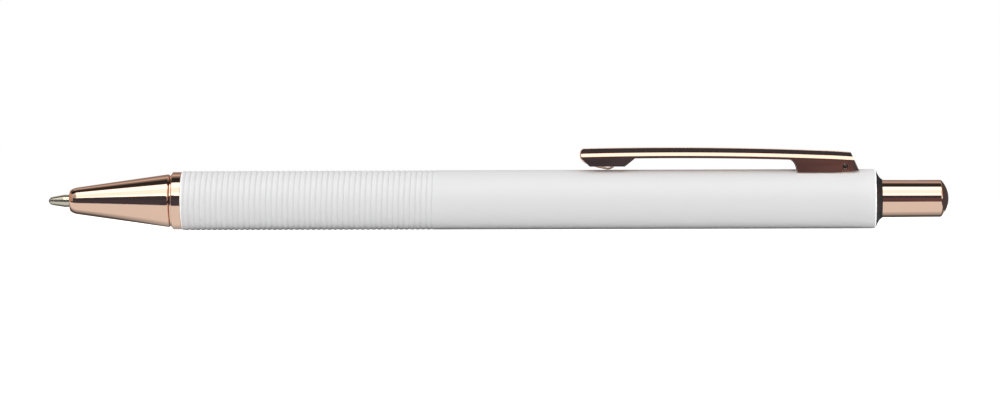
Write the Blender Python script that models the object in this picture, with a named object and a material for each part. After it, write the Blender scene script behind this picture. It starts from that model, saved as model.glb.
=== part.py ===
"""Retractable metal ballpoint pen with a ribbed grip, a sprung clip and a cam click mechanism.

The pen lies along X with the ball at the low end and the push button at the high end. The clip is on
top, at +Z. The origin is under the middle of the pen, on the surface that the barrel rests on. Lengths
along the pen are counted from the front of the ball, in metres.
"""

import math

import bmesh
import bpy
from mathutils import Matrix, Vector

MM = 0.001

# Barrel: lacquered tube with a ribbed grip at its front
BARREL_LENGTH = 108.05 * MM
BARREL_DIAMETER = 9.2 * MM
BARREL_WALL = 0.75 * MM
BARREL_END_CHAMFER = 0.22 * MM
RIB_COUNT = 45
RIB_PITCH = 0.861 * MM
RIB_DEPTH = 0.11 * MM
RIB_GROOVE_WIDTH = 0.34 * MM
GRIP_START = 0.22 * MM

# Trim ring and threaded bush at the barrel's front
RING_LENGTH = 1.7 * MM
RING_NECK_LENGTH = 0.3 * MM
RING_NECK_DIAMETER = 8.2 * MM
RING_DIAMETER = 8.94 * MM
RING_EDGE = 0.2 * MM
BUSH_LENGTH = 7.0 * MM
BUSH_SETBACK = 0.6 * MM
BUSH_WALL = 0.42 * MM

# Nose cone
NOSE_LENGTH = 15.55 * MM
NOSE_FRONT_DIAMETER = 3.88 * MM
NOSE_REAR_DIAMETER = 8.36 * MM
NOSE_FRONT_ROUND = 0.5 * MM
NOSE_FRONT_ROUND_LENGTH = 1.3 * MM
NOSE_LIP = 0.18 * MM
NOSE_SPIGOT_LENGTH = 6.6 * MM

# Refill: ball, point, holder, tube and ink
BALL_DIAMETER = 1.0 * MM
BALL_PROUD = 0.27 * MM
POINT_DIAMETER = 1.94 * MM
POINT_TIP_DIAMETER = 1.06 * MM
POINT_CONE_LENGTH = 2.15 * MM
POINT_LENGTH = 14.0 * MM
POINT_BORE = 0.9 * MM
POINT_CHANNEL = 0.36 * MM
POINT_SHOWN = 3.3 * MM
HOLDER_START = 10.4 * MM
HOLDER_DIAMETER = 2.8 * MM
HOLDER_FLANGE_DIAMETER = 3.8 * MM
HOLDER_FLANGE_LENGTH = 0.8 * MM
HOLDER_SPIGOT_LENGTH = 3.2 * MM
HOLDER_BORE = 0.9 * MM
TUBE_DIAMETER = 3.0 * MM
TUBE_WALL = 0.3 * MM
INK_LENGTH = 52.0 * MM
FOLLOWER_LENGTH = 4.5 * MM

# Return spring between the nose cone's seat and the holder's flange
SPRING_WIRE = 0.35 * MM
SPRING_LENGTH = 8.9 * MM
SPRING_TURNS = 9
SPRING_TURN_POINTS = 12

# Click mechanism
PRESS_TRAVEL = 1.2 * MM
RETRACT_TRAVEL = 5.0 * MM
ROTOR_CUP_DEPTH = 2.0 * MM
ROTOR_BODY_LENGTH = 6.4 * MM
ROTOR_DIAMETER = 4.0 * MM
ROTOR_PILOT_DIAMETER = 1.8 * MM
ROTOR_PILOT_LENGTH = 3.2 * MM
FIN_COUNT = 4
FIN_WIDTH = 0.9 * MM
FIN_DIAMETER = 5.7 * MM
FIN_LENGTH = 2.4 * MM
TOOTH_COUNT = 8
TOOTH_HEIGHT = 0.5 * MM
FIN_ROOT_SHARE = 0.8
SLEEVE_FRONT_LENGTH = 4.8 * MM
SLEEVE_END_WALL = 0.5 * MM
RIB_DIAMETER = 4.75 * MM
PLUNGER_DIAMETER = 4.5 * MM
PLUNGER_GUIDE_LENGTH = 1.6 * MM
PLUNGER_GUIDE_SETBACK = 0.8 * MM

# Push button and the collar that it slides in
BUTTON_DIAMETER = 5.8 * MM
BUTTON_WALL = 0.5 * MM
BUTTON_SHOWN = 10.3 * MM
BUTTON_DOME_HEIGHT = 0.92 * MM
BUTTON_EDGE_ROUND = 0.4 * MM
BUTTON_END_WALL = 1.1 * MM
BUTTON_LIP_DIAMETER = 6.3 * MM
BUTTON_LIP_LENGTH = 0.6 * MM
PLUNGER_IN_BUTTON = 12.0 * MM
COLLAR_HEIGHT = 0.95 * MM
COLLAR_WAIST = 0.4 * MM
COLLAR_SPIGOT_LENGTH = 1.5 * MM
COLLAR_DIAMETER = 8.76 * MM
COLLAR_WAIST_DIAMETER = 7.2 * MM

# Clip: one stamped strip with a raised rib, sloping wings and turned-down flanges
CLIP_LENGTH = 43.4 * MM
CLIP_TAIL = 2.25 * MM
CLIP_SHEET = 0.3 * MM
CLIP_HALF_WIDTH = 2.5 * MM
CLIP_RIB_HALF_WIDTH = 1.85 * MM
CLIP_HEIGHT_FRONT = 3.25 * MM
CLIP_HEIGHT_MIDDLE = 3.36 * MM
CLIP_HEIGHT_REAR = 2.58 * MM
CLIP_MIDDLE_SHARE = 0.42
CLIP_RISER_FRONT = 0.72 * MM
CLIP_RISER_REAR = 0.61 * MM
CLIP_WING_DROP = 0.56 * MM
CLIP_SIDE_HEIGHT = 0.35 * MM
CLIP_NOSE_ROUND = 2.5 * MM
CLIP_NOSE_SLOPE = 0.4 * MM
CLIP_NOSE_DROP = 0.75 * MM
CLIP_NOSE_SOLID = 0.65 * MM
CLIP_TAIL_ROUND = 2.5 * MM
CLIP_TAIL_SQUARENESS = 3.5
CLIP_TAIL_END_SHARE = 0.64
CLIP_TAIL_SLOPE = 1.45 * MM
CLIP_TAIL_END_HEIGHT = 0.15 * MM
FRONT_FLANGE_START = 1.6 * MM
FRONT_FLANGE_END = 6.8 * MM
FRONT_FLANGE_SLOPE = 1.6 * MM
FRONT_FLANGE_HEIGHT = 0.5 * MM
REAR_FLANGE_LENGTH = 9.8 * MM
REAR_FLANGE_CURVE = 1.15 * MM
TAIL_RELIEF = 0.25 * MM
TAIL_RELIEF_LENGTH = 2.8 * MM
TONGUE_HALF_WIDTH = 1.2 * MM
TONGUE_SHEET = 0.28 * MM
TONGUE_START = 0.35 * MM
TONGUE_CONTACT = 4.3 * MM
TONGUE_END = 6.2 * MM
TONGUE_DROP = 1.9 * MM
TONGUE_RISE = 1.15 * MM

# Clip pivot, its bracket and its spring
PIVOT_HEIGHT = 0.4 * MM
PIVOT_BEHIND = 4.75 * MM
PIN_DIAMETER = 0.7 * MM
EAR_THICKNESS = 0.5 * MM
EAR_HALF_SPAN = 1.45 * MM
EAR_LENGTH = 2.0 * MM
EAR_HEIGHT = 1.35 * MM
SADDLE_THICKNESS = 0.2 * MM
SADDLE_HALF_WIDTH = 2.1 * MM
SADDLE_CORNER = 0.7 * MM
SADDLE_CORNER_WIDTH = 0.5 * MM
FOOT_THICKNESS = 0.36 * MM
BRACKET_STEM_LENGTH = 3.0 * MM
BRACKET_STEM_HALF_WIDTH = 1.2 * MM
BRACKET_OVERLAP = 0.6 * MM
LEAF_THICKNESS = 0.2 * MM
LEAF_HALF_WIDTH = 0.65 * MM
LEAF_LENGTH = 0.6 * MM

# Clearances
SEAM = 0.05 * MM
SEAT_GAP = 0.1 * MM
RUNNING_GAP = 0.1 * MM
FITTED_GAP = 0.06 * MM
AXIAL_GAP = 0.3 * MM
PIN_GAP = 0.05 * MM

# Facets round the turned pieces, all multiples of four so that a facet faces straight down
BARREL_SIDES = 32
TRIM_SIDES = 32
TOOTHED_SIDES = 32
SMALL_SIDES = 24
FINE_SIDES = 12
HOLE_SIDES = 16

# Radii that follow from the sizes above
BARREL_R = BARREL_DIAMETER / 2
BORE_R = BARREL_R - BARREL_WALL
BUSH_R = BORE_R - FITTED_GAP
THREAD_R = BUSH_R - BUSH_WALL
SPIGOT_R = THREAD_R - RUNNING_GAP
POINT_R = POINT_DIAMETER / 2
HOLDER_R = HOLDER_DIAMETER / 2
FLANGE_R = HOLDER_FLANGE_DIAMETER / 2
TUBE_R = TUBE_DIAMETER / 2
SPRING_R = HOLDER_R + 2 * FITTED_GAP + SPRING_WIRE / 2
POCKET_R = max(SPRING_R + SPRING_WIRE / 2, FLANGE_R) + 2 * RUNNING_GAP
FIN_R = FIN_DIAMETER / 2
BUTTON_R = BUTTON_DIAMETER / 2
BUTTON_BORE_R = BUTTON_R - BUTTON_WALL
COLLAR_BORE_R = BUTTON_R + RUNNING_GAP
PIN_R = PIN_DIAMETER / 2

# Stations along the pen, from the front of the ball
NOSE_X = POINT_SHOWN
RING_X = NOSE_X + NOSE_LENGTH + SEAM
BARREL_X = RING_X + RING_LENGTH + SEAM
BARREL_END_X = BARREL_X + BARREL_LENGTH
COLLAR_X = BARREL_END_X + SEAM
COLLAR_END_X = COLLAR_X + COLLAR_HEIGHT
OVERALL_LENGTH = COLLAR_END_X + BUTTON_SHOWN
SPRING_SEAT_X = HOLDER_START - PRESS_TRAVEL - AXIAL_GAP
FLANGE_X = SPRING_SEAT_X + SPRING_LENGTH
FLANGE_END_X = FLANGE_X + HOLDER_FLANGE_LENGTH
PIVOT_X = BARREL_END_X - PIVOT_BEHIND
CLIP_END_X = PIVOT_X + CLIP_TAIL
CLIP_X = CLIP_END_X - CLIP_LENGTH

# The click mechanism is placed from the collar forwards, and the refill fills the length before it
COLLAR_FRONT_X = BARREL_END_X - COLLAR_SPIGOT_LENGTH
LIP_X = COLLAR_FRONT_X - RETRACT_TRAVEL - AXIAL_GAP - BUTTON_LIP_LENGTH
SLEEVE_END_X = LIP_X - PRESS_TRAVEL - AXIAL_GAP
GROOVE_END_X = SLEEVE_END_X - SLEEVE_END_WALL
GUIDE_X = GROOVE_END_X - AXIAL_GAP - RETRACT_TRAVEL - PLUNGER_GUIDE_LENGTH
PLUNGER_X = GUIDE_X - PLUNGER_GUIDE_SETBACK
LOCK_X = PLUNGER_X
SLEEVE_X = LOCK_X - SLEEVE_FRONT_LENGTH
ROTOR_END_X = LOCK_X - AXIAL_GAP
ROTOR_X = ROTOR_END_X - ROTOR_BODY_LENGTH
REFILL_END_X = ROTOR_X + ROTOR_CUP_DEPTH - SEAT_GAP

# The barrel's lowest facet lies on the surface
AXIS_HEIGHT = BARREL_R * math.cos(math.pi / BARREL_SIDES)


def clear_scene():
    for obj in list(bpy.data.objects):
        bpy.data.objects.remove(obj, do_unlink=True)


def material(name, colour, roughness, metallic=0.0):
    found = bpy.data.materials.get(name)
    if found:
        return found
    made = bpy.data.materials.new(name)
    made.use_nodes = True
    shader = made.node_tree.nodes["Principled BSDF"]
    shader.inputs["Base Color"].default_value = (*colour, 1.0)
    shader.inputs["Roughness"].default_value = roughness
    shader.inputs["Metallic"].default_value = metallic
    return made


def white_lacquer():
    return material("white_lacquer", (0.80, 0.80, 0.80), 0.3)


def rose_gold_plate():
    return material("rose_gold_plate", (0.72, 0.47, 0.36), 0.12, 1.0)


def black_acetal():
    return material("black_acetal", (0.025, 0.025, 0.028), 0.35)


def nickel_silver():
    return material("nickel_silver", (0.55, 0.52, 0.45), 0.25, 1.0)


def tungsten_carbide():
    return material("tungsten_carbide", (0.35, 0.34, 0.36), 0.15, 1.0)


def brass():
    return material("brass", (0.68, 0.48, 0.20), 0.3, 1.0)


def spring_steel():
    return material("spring_steel", (0.50, 0.50, 0.52), 0.25, 1.0)


def clear_polypropylene():
    return material("clear_polypropylene", (0.75, 0.78, 0.80), 0.3)


def white_acetal():
    return material("white_acetal", (0.78, 0.78, 0.76), 0.4)


def blue_ink():
    return material("blue_ink", (0.01, 0.02, 0.16), 0.2)


def follower_grease():
    return material("follower_grease", (0.70, 0.66, 0.45), 0.3)


def empty(name, location, parent=None):
    """A joint's frame, with its origin on the joint's axis."""
    made = bpy.data.objects.new(name, None)
    bpy.context.scene.collection.objects.link(made)
    made.parent = parent
    made.location = location
    return made


def add_object(name, bm, finish, parent, origin=(0.0, 0.0, 0.0), sharp=30):
    """Turns a bmesh in pen coordinates into an object whose origin is at the given point."""
    bmesh.ops.recalc_face_normals(bm, faces=bm.faces)
    bmesh.ops.translate(bm, vec=-Vector(origin), verts=bm.verts)
    mesh = bpy.data.meshes.new(name)
    bm.to_mesh(mesh)
    bm.free()
    mesh.shade_smooth()
    mesh.set_sharp_from_angle(angle=math.radians(sharp))
    obj = bpy.data.objects.new(name, mesh)
    bpy.context.scene.collection.objects.link(obj)
    if finish:
        mesh.materials.append(finish)
    obj.parent = parent
    obj.location = origin
    return obj


def spun(profile, sides):
    """A closed outline of (distance along the pen, radius), spun once round the pen's axis."""
    bm = bmesh.new()
    start = Matrix.Rotation(math.pi / sides, 3, "X")
    verts = [bm.verts.new(start @ Vector((x, 0.0, r))) for x, r in profile]
    edges = [bm.edges.new((a, b)) for a, b in zip(verts, verts[1:] + verts[:1])]
    bmesh.ops.spin(
        bm,
        geom=verts + edges,
        cent=(0.0, 0.0, 0.0),
        axis=(1.0, 0.0, 0.0),
        angle=math.tau,
        steps=sides,
        use_merge=True,
    )
    bmesh.ops.remove_doubles(bm, verts=bm.verts, dist=1e-7)
    flat = [f for f in bm.faces if f.calc_area() < 1e-14]
    bmesh.ops.delete(bm, geom=flat, context="FACES_ONLY")
    loose = [e for e in bm.edges if not e.link_faces]
    bmesh.ops.delete(bm, geom=loose, context="EDGES")
    return bm


def turned(name, profile, finish, parent, sides=SMALL_SIDES):
    origin = (min(x for x, r in profile), 0.0, 0.0)
    return add_object(name, spun(profile, sides), finish, parent, origin)


def prism(outline, axis, low, high):
    """An outline extruded along X from (y, z) points, or along Y from (x, z) points."""
    bm = bmesh.new()
    if axis == "X":
        verts = [bm.verts.new((low, a, b)) for a, b in outline]
        step = (high - low, 0.0, 0.0)
    else:
        verts = [bm.verts.new((a, low, b)) for a, b in outline]
        step = (0.0, high - low, 0.0)
    face = bm.faces.new(verts)
    made = bmesh.ops.extrude_face_region(bm, geom=[face], use_keep_orig=True)
    moved = [v for v in made["geom"] if isinstance(v, bmesh.types.BMVert)]
    bmesh.ops.translate(bm, vec=step, verts=moved)
    return bm


def box(low, high):
    return prism(
        [(low[1], low[2]), (high[1], low[2]), (high[1], high[2]), (low[1], high[2])],
        "X",
        low[0],
        high[0],
    )


def combine(obj, tool_bm, operation):
    """Applies a Boolean between an object and a bmesh in pen coordinates, and keeps the result."""
    bmesh.ops.recalc_face_normals(tool_bm, faces=tool_bm.faces)
    bmesh.ops.translate(tool_bm, vec=-obj.location, verts=tool_bm.verts)
    tool_mesh = bpy.data.meshes.new("tool")
    tool_bm.to_mesh(tool_mesh)
    tool_bm.free()
    tool = bpy.data.objects.new("tool", tool_mesh)
    bpy.context.scene.collection.objects.link(tool)
    tool.parent = obj.parent
    tool.location = obj.location
    bpy.context.view_layer.update()
    modifier = obj.modifiers.new("combine", "BOOLEAN")
    modifier.operation = operation
    modifier.solver = "EXACT"
    modifier.object = tool
    graph = bpy.context.evaluated_depsgraph_get()
    result = bpy.data.meshes.new_from_object(obj.evaluated_get(graph))
    obj.modifiers.remove(modifier)
    old = obj.data
    obj.data = result
    bpy.data.meshes.remove(old)
    bpy.data.objects.remove(tool, do_unlink=True)
    bpy.data.meshes.remove(tool_mesh)
    obj.data.name = obj.name


def arc_points(centre, radius, start, end, count):
    """Points on an arc of (distance along the pen, radius) or (y, z), with angles in degrees."""
    return [
        (
            centre[0] + radius * math.cos(math.radians(start + (end - start) * i / count)),
            centre[1] + radius * math.sin(math.radians(start + (end - start) * i / count)),
        )
        for i in range(count + 1)
    ]


def strip_outline(path, thickness):
    """The outline of a bent strip: its middle line moved half its thickness to each side."""
    left, right = [], []
    for i, point in enumerate(path):
        before = Vector(path[max(i - 1, 0)])
        after = Vector(path[min(i + 1, len(path) - 1)])
        along = (after - before).normalized()
        side = Vector((-along.y, along.x)) * thickness / 2
        left.append(tuple(Vector(point) + side))
        right.append(tuple(Vector(point) - side))
    return left + right[::-1]


def lobes(core_r, tip_r, width, sides=SMALL_SIDES):
    """A round core with evenly spaced straight fins, as (y, z) points."""
    half = width / 2
    foot = math.asin(half / core_r)
    tip = math.asin(half / tip_r)
    pitch = math.tau / FIN_COUNT
    steps = sides // FIN_COUNT
    points = []
    for fin in range(FIN_COUNT):
        middle = fin * pitch
        for radius, angle in ((core_r, -foot), (tip_r, -tip), (tip_r, 0.0), (tip_r, tip), (core_r, foot)):
            points.append(polar(radius, middle + angle))
        for step in range(1, steps):
            points.append(polar(core_r, middle + foot + (pitch - 2 * foot) * step / steps))
    return points


def polar(radius, angle):
    return radius * math.cos(angle), radius * math.sin(angle)


def cut_teeth(obj, at, radius):
    """Moves one rim of an end face in a zigzag along the pen, which makes V teeth."""
    for vertex in obj.data.vertices:
        x = vertex.co.x + obj.location.x
        if abs(x - at) < 1e-7 and abs(math.hypot(vertex.co.y, vertex.co.z) - radius) < 1e-6:
            turn = math.atan2(vertex.co.z, vertex.co.y) / math.tau * TOOTH_COUNT
            vertex.co.x += TOOTH_HEIGHT * 2 * abs(turn - math.floor(turn) - 0.5)


def make_barrel(parent):
    grooves = []
    for groove in range(RIB_COUNT + 1):
        middle = BARREL_X + GRIP_START + groove * RIB_PITCH
        grooves.append((middle - RIB_GROOVE_WIDTH / 2, BARREL_R))
        grooves.append((middle, BARREL_R - RIB_DEPTH))
        grooves.append((middle + RIB_GROOVE_WIDTH / 2, BARREL_R))
    profile = (
        [(BARREL_X, BORE_R), (BARREL_X, BARREL_R)]
        + grooves
        + [
            (BARREL_END_X - BARREL_END_CHAMFER, BARREL_R),
            (BARREL_END_X, BARREL_R - BARREL_END_CHAMFER),
            (BARREL_END_X, BORE_R),
        ]
    )
    barrel = turned("barrel", profile, white_lacquer(), parent, BARREL_SIDES)
    gap = RUNNING_GAP
    half = BRACKET_STEM_LENGTH / 2 + gap
    slot = box(
        (PIVOT_X - half, -BRACKET_STEM_HALF_WIDTH - gap, BORE_R / 2),
        (PIVOT_X + half, BRACKET_STEM_HALF_WIDTH + gap, BARREL_R * 1.5),
    )
    combine(barrel, slot, "DIFFERENCE")
    return barrel


def make_trim_ring(parent):
    outer = RING_DIAMETER / 2
    shoulder = RING_X + RING_NECK_LENGTH
    end = RING_X + RING_LENGTH
    inner = SPIGOT_R + RUNNING_GAP
    profile = [
        (RING_X, inner),
        (RING_X, RING_NECK_DIAMETER / 2),
        (shoulder, RING_NECK_DIAMETER / 2),
        (shoulder, outer - RING_EDGE),
        (shoulder + RING_EDGE / 3, outer - RING_EDGE / 3),
        (shoulder + RING_EDGE, outer),
        (end, outer),
        (end, inner),
    ]
    return turned("trim_ring", profile, rose_gold_plate(), parent, TRIM_SIDES)


def make_front_bush(parent):
    start = BARREL_X + BUSH_SETBACK
    end = start + BUSH_LENGTH
    profile = [(start, THREAD_R), (start, BUSH_R), (end, BUSH_R), (end, THREAD_R)]
    return turned("front_bush", profile, brass(), parent)


def make_nose_cone(parent):
    front_r = NOSE_FRONT_DIAMETER / 2
    rear_r = NOSE_REAR_DIAMETER / 2
    end = NOSE_X + NOSE_LENGTH
    spigot_end = end + NOSE_SPIGOT_LENGTH
    slope = (rear_r - front_r) / NOSE_LENGTH
    mouth_r = POINT_R + RUNNING_GAP
    rounding = [
        (NOSE_X + NOSE_FRONT_ROUND_LENGTH * (1 + x), front_r - NOSE_FRONT_ROUND * (1 - r))
        for x, r in arc_points((0.0, 0.0), 1.0, 180, 90, 5)
    ]
    throat = [(SPRING_SEAT_X - SEAT_GAP, mouth_r), (NOSE_X, mouth_r)]
    body = [(x, r + slope * (x - NOSE_X)) for x, r in rounding]
    profile = (
        throat
        + body
        + [
            (end - NOSE_LIP, rear_r - slope * NOSE_LIP),
            (end, rear_r - NOSE_LIP),
            (end, SPIGOT_R),
            (spigot_end, SPIGOT_R),
            (spigot_end, POCKET_R),
            (SPRING_SEAT_X - SEAT_GAP, POCKET_R),
        ]
    )
    return turned("nose_cone", profile, rose_gold_plate(), parent, TRIM_SIDES)


def make_writing_ball(parent):
    bm = bmesh.new()
    bmesh.ops.create_icosphere(bm, subdivisions=3, radius=BALL_DIAMETER / 2)
    bmesh.ops.translate(bm, vec=(BALL_DIAMETER / 2, 0.0, 0.0), verts=bm.verts)
    return add_object("writing_ball", bm, tungsten_carbide(), parent, (BALL_DIAMETER / 2, 0.0, 0.0))


def make_refill_point(parent):
    ball_r = BALL_DIAMETER / 2
    socket_r = ball_r + PIN_GAP
    opening = math.degrees(math.acos((BALL_PROUD - ball_r) / socket_r))
    seat = math.degrees(math.asin(POINT_CHANNEL / 2 / socket_r))
    socket = arc_points((ball_r, 0.0), socket_r, seat, opening, 8)
    cone_end = BALL_PROUD + POINT_CONE_LENGTH
    profile = [
        (POINT_LENGTH, POINT_BORE / 2),
        (cone_end, POINT_BORE / 2),
        (cone_end, POINT_CHANNEL / 2),
        *socket,
        (BALL_PROUD + PIN_GAP / 2, POINT_TIP_DIAMETER / 2),
        (BALL_PROUD + 3 * PIN_GAP, POINT_TIP_DIAMETER / 2 + 2 * PIN_GAP),
        (cone_end, POINT_R),
        (POINT_LENGTH, POINT_R),
    ]
    return turned("refill_point", profile, nickel_silver(), parent)


def make_point_holder(parent):
    socket_r = POINT_R + PIN_GAP
    floor = POINT_LENGTH + SEAT_GAP
    end = FLANGE_END_X + HOLDER_SPIGOT_LENGTH
    spigot_r = TUBE_R - TUBE_WALL - FITTED_GAP
    profile = [
        (HOLDER_START, socket_r),
        (HOLDER_START, HOLDER_R - 2 * SEAT_GAP),
        (HOLDER_START + 3 * SEAT_GAP, HOLDER_R),
        (FLANGE_X, HOLDER_R),
        (FLANGE_X, FLANGE_R),
        (FLANGE_END_X, FLANGE_R),
        (FLANGE_END_X, spigot_r),
        (end, spigot_r),
        (end, HOLDER_BORE / 2),
        (floor, HOLDER_BORE / 2),
        (floor, socket_r),
    ]
    return turned("point_holder", profile, white_acetal(), parent)


def make_refill_tube(parent):
    start = FLANGE_END_X + SEAM
    bore = TUBE_R - TUBE_WALL
    profile = [(start, bore), (start, TUBE_R), (REFILL_END_X, TUBE_R), (REFILL_END_X, bore)]
    return turned("refill_tube", profile, clear_polypropylene(), parent)


def make_ink(parent):
    radius = TUBE_R - TUBE_WALL - FITTED_GAP
    start = FLANGE_END_X + HOLDER_SPIGOT_LENGTH + SEAT_GAP
    end = start + INK_LENGTH
    ink = [(start, 0.0), (start, radius), (end, radius), (end, 0.0)]
    turned("ink_column", ink, blue_ink(), parent, FINE_SIDES)
    grease_start = end + SEAT_GAP
    grease_end = grease_start + FOLLOWER_LENGTH
    grease = [(grease_start, 0.0), (grease_start, radius), (grease_end, radius), (grease_end, 0.0)]
    turned("ink_follower", grease, follower_grease(), parent, FINE_SIDES)


def make_return_spring(parent):
    """A compression spring of evenly pitched turns."""
    pitch = (SPRING_LENGTH - 2 * SEAT_GAP - SPRING_WIRE) / SPRING_TURNS
    points = []
    for i in range(SPRING_TURNS * SPRING_TURN_POINTS + 1):
        turn = i / SPRING_TURN_POINTS
        points.append((turn * pitch, *polar(SPRING_R, turn * math.tau)))
    print(f"return_spring: least gap between turns {(pitch - SPRING_WIRE) / MM:.2f} mm")
    curve = bpy.data.curves.new("return_spring", "CURVE")
    curve.dimensions = "3D"
    curve.bevel_depth = SPRING_WIRE / 2
    curve.bevel_resolution = 1
    curve.use_fill_caps = True
    spline = curve.splines.new("POLY")
    spline.points.add(len(points) - 1)
    for point, place in zip(spline.points, points):
        point.co = (*place, 1.0)
    curve.materials.append(spring_steel())
    obj = bpy.data.objects.new("return_spring", curve)
    bpy.context.scene.collection.objects.link(obj)
    obj.parent = parent
    obj.location = (SPRING_SEAT_X + SEAT_GAP + SPRING_WIRE / 2, 0.0, 0.0)
    return obj


def make_cam_rotor(parent):
    radius = ROTOR_DIAMETER / 2
    pilot_r = ROTOR_PILOT_DIAMETER / 2
    cup_r = TUBE_R + RUNNING_GAP
    floor = REFILL_END_X + SEAT_GAP
    crown = ROTOR_END_X - TOOTH_HEIGHT
    profile = [
        (floor, 0.0),
        (floor, cup_r),
        (ROTOR_X, cup_r),
        (ROTOR_X, radius),
        (crown, radius),
        (crown, pilot_r),
        (ROTOR_END_X + ROTOR_PILOT_LENGTH, pilot_r),
        (ROTOR_END_X + ROTOR_PILOT_LENGTH, 0.0),
    ]
    rotor = turned("cam_rotor", profile, white_acetal(), parent, TOOTHED_SIDES)
    cut_teeth(rotor, crown, radius)
    fins = prism(lobes(radius * FIN_ROOT_SHARE, FIN_R, FIN_WIDTH), "X", crown - FIN_LENGTH, crown)
    combine(rotor, fins, "UNION")
    return rotor


def make_cam_sleeve(parent):
    outer = BORE_R - FITTED_GAP
    channel_r = FIN_R + RUNNING_GAP
    rib_r = RIB_DIAMETER / 2
    profile = [
        (SLEEVE_X, channel_r),
        (SLEEVE_X, outer),
        (SLEEVE_END_X, outer),
        (SLEEVE_END_X, rib_r),
        (LOCK_X, rib_r),
        (LOCK_X, channel_r),
    ]
    sleeve = turned("cam_sleeve", profile, white_acetal(), parent, TOOTHED_SIDES)
    cut_teeth(sleeve, LOCK_X, rib_r)
    grooves = prism(
        lobes(rib_r * FIN_ROOT_SHARE, channel_r, FIN_WIDTH + 2 * RUNNING_GAP),
        "X",
        LOCK_X - RUNNING_GAP,
        GROOVE_END_X,
    )
    combine(sleeve, grooves, "DIFFERENCE")
    return sleeve


def make_plunger(parent):
    radius = PLUNGER_DIAMETER / 2
    bore_r = ROTOR_PILOT_DIAMETER / 2 + RUNNING_GAP
    end = LIP_X + PLUNGER_IN_BUTTON
    profile = [
        (PLUNGER_X, bore_r),
        (PLUNGER_X, radius),
        (end, radius),
        (end, bore_r),
    ]
    plunger = turned("button_plunger", profile, black_acetal(), parent, TOOTHED_SIDES)
    cut_teeth(plunger, PLUNGER_X, radius)
    guides = prism(
        lobes(radius * FIN_ROOT_SHARE, FIN_R, FIN_WIDTH), "X", GUIDE_X, GUIDE_X + PLUNGER_GUIDE_LENGTH
    )
    combine(plunger, guides, "UNION")
    outline = [polar(bore_r, math.tau * i / TOOTHED_SIDES) for i in range(TOOTHED_SIDES)]
    bore = prism(outline, "X", PLUNGER_X - MM, end + MM)
    combine(plunger, bore, "DIFFERENCE")
    return plunger


def make_push_button(parent):
    dome_r = BUTTON_R - BUTTON_EDGE_ROUND
    rim_x = OVERALL_LENGTH - BUTTON_DOME_HEIGHT
    sphere_r = (dome_r**2 + BUTTON_DOME_HEIGHT**2) / (2 * BUTTON_DOME_HEIGHT)
    centre_x = OVERALL_LENGTH - sphere_r
    half_angle = math.degrees(math.asin(dome_r / sphere_r))
    dome = arc_points((centre_x, 0.0), sphere_r, half_angle, 0, 6)
    edge = arc_points((rim_x - BUTTON_EDGE_ROUND, dome_r), BUTTON_EDGE_ROUND, 90, 20, 3)
    lip_r = BUTTON_LIP_DIAMETER / 2
    floor = OVERALL_LENGTH - BUTTON_END_WALL - BUTTON_DOME_HEIGHT
    profile = [
        (LIP_X, BUTTON_BORE_R),
        (LIP_X, lip_r),
        (LIP_X + BUTTON_LIP_LENGTH, lip_r),
        (LIP_X + BUTTON_LIP_LENGTH, BUTTON_R),
        *edge,
        *dome[:-1],
        (OVERALL_LENGTH, 0.0),
        (floor, 0.0),
        (floor, BUTTON_BORE_R),
    ]
    return turned("push_button", profile, rose_gold_plate(), parent, TRIM_SIDES)


def make_end_cone(parent):
    spigot_r = BORE_R - FITTED_GAP
    profile = [
        (COLLAR_FRONT_X, COLLAR_BORE_R),
        (COLLAR_FRONT_X, spigot_r),
        (COLLAR_X, spigot_r),
        (COLLAR_X, COLLAR_DIAMETER / 2),
        (COLLAR_X + COLLAR_WAIST, COLLAR_WAIST_DIAMETER / 2),
        (COLLAR_END_X, COLLAR_BORE_R + SEAM),
        (COLLAR_END_X, COLLAR_BORE_R),
    ]
    return turned("end_cone", profile, black_acetal(), parent, TRIM_SIDES)


def clip_top(along):
    """Height of the clip's rib above the barrel: the parabola through its front, middle and rear."""
    t = along / CLIP_LENGTH
    middle = CLIP_MIDDLE_SHARE
    front, centre, rear = CLIP_HEIGHT_FRONT, CLIP_HEIGHT_MIDDLE, CLIP_HEIGHT_REAR
    height = front * (t - middle) * (t - 1) / middle
    height += centre * t * (t - 1) / (middle * (middle - 1))
    height += rear * t * (t - middle) / (1 - middle)
    return height


def blend(value, low, high):
    return min(max((value - low) / (high - low), 0.0), 1.0)


def plan_share(along):
    """How much of its full width the clip has: a round nose and a squarer tail, seen from above."""
    share = 1.0
    if along < CLIP_NOSE_ROUND:
        share = math.sqrt(1 - (1 - max(along, PIN_GAP) / CLIP_NOSE_ROUND) ** 2)
    from_tail = CLIP_LENGTH - along
    if from_tail < CLIP_TAIL_ROUND:
        power = CLIP_TAIL_SQUARENESS
        share = (1 - (1 - from_tail / CLIP_TAIL_ROUND) ** power) ** (1 / power)
        share = max(share, CLIP_TAIL_END_SHARE)
    return share


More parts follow.
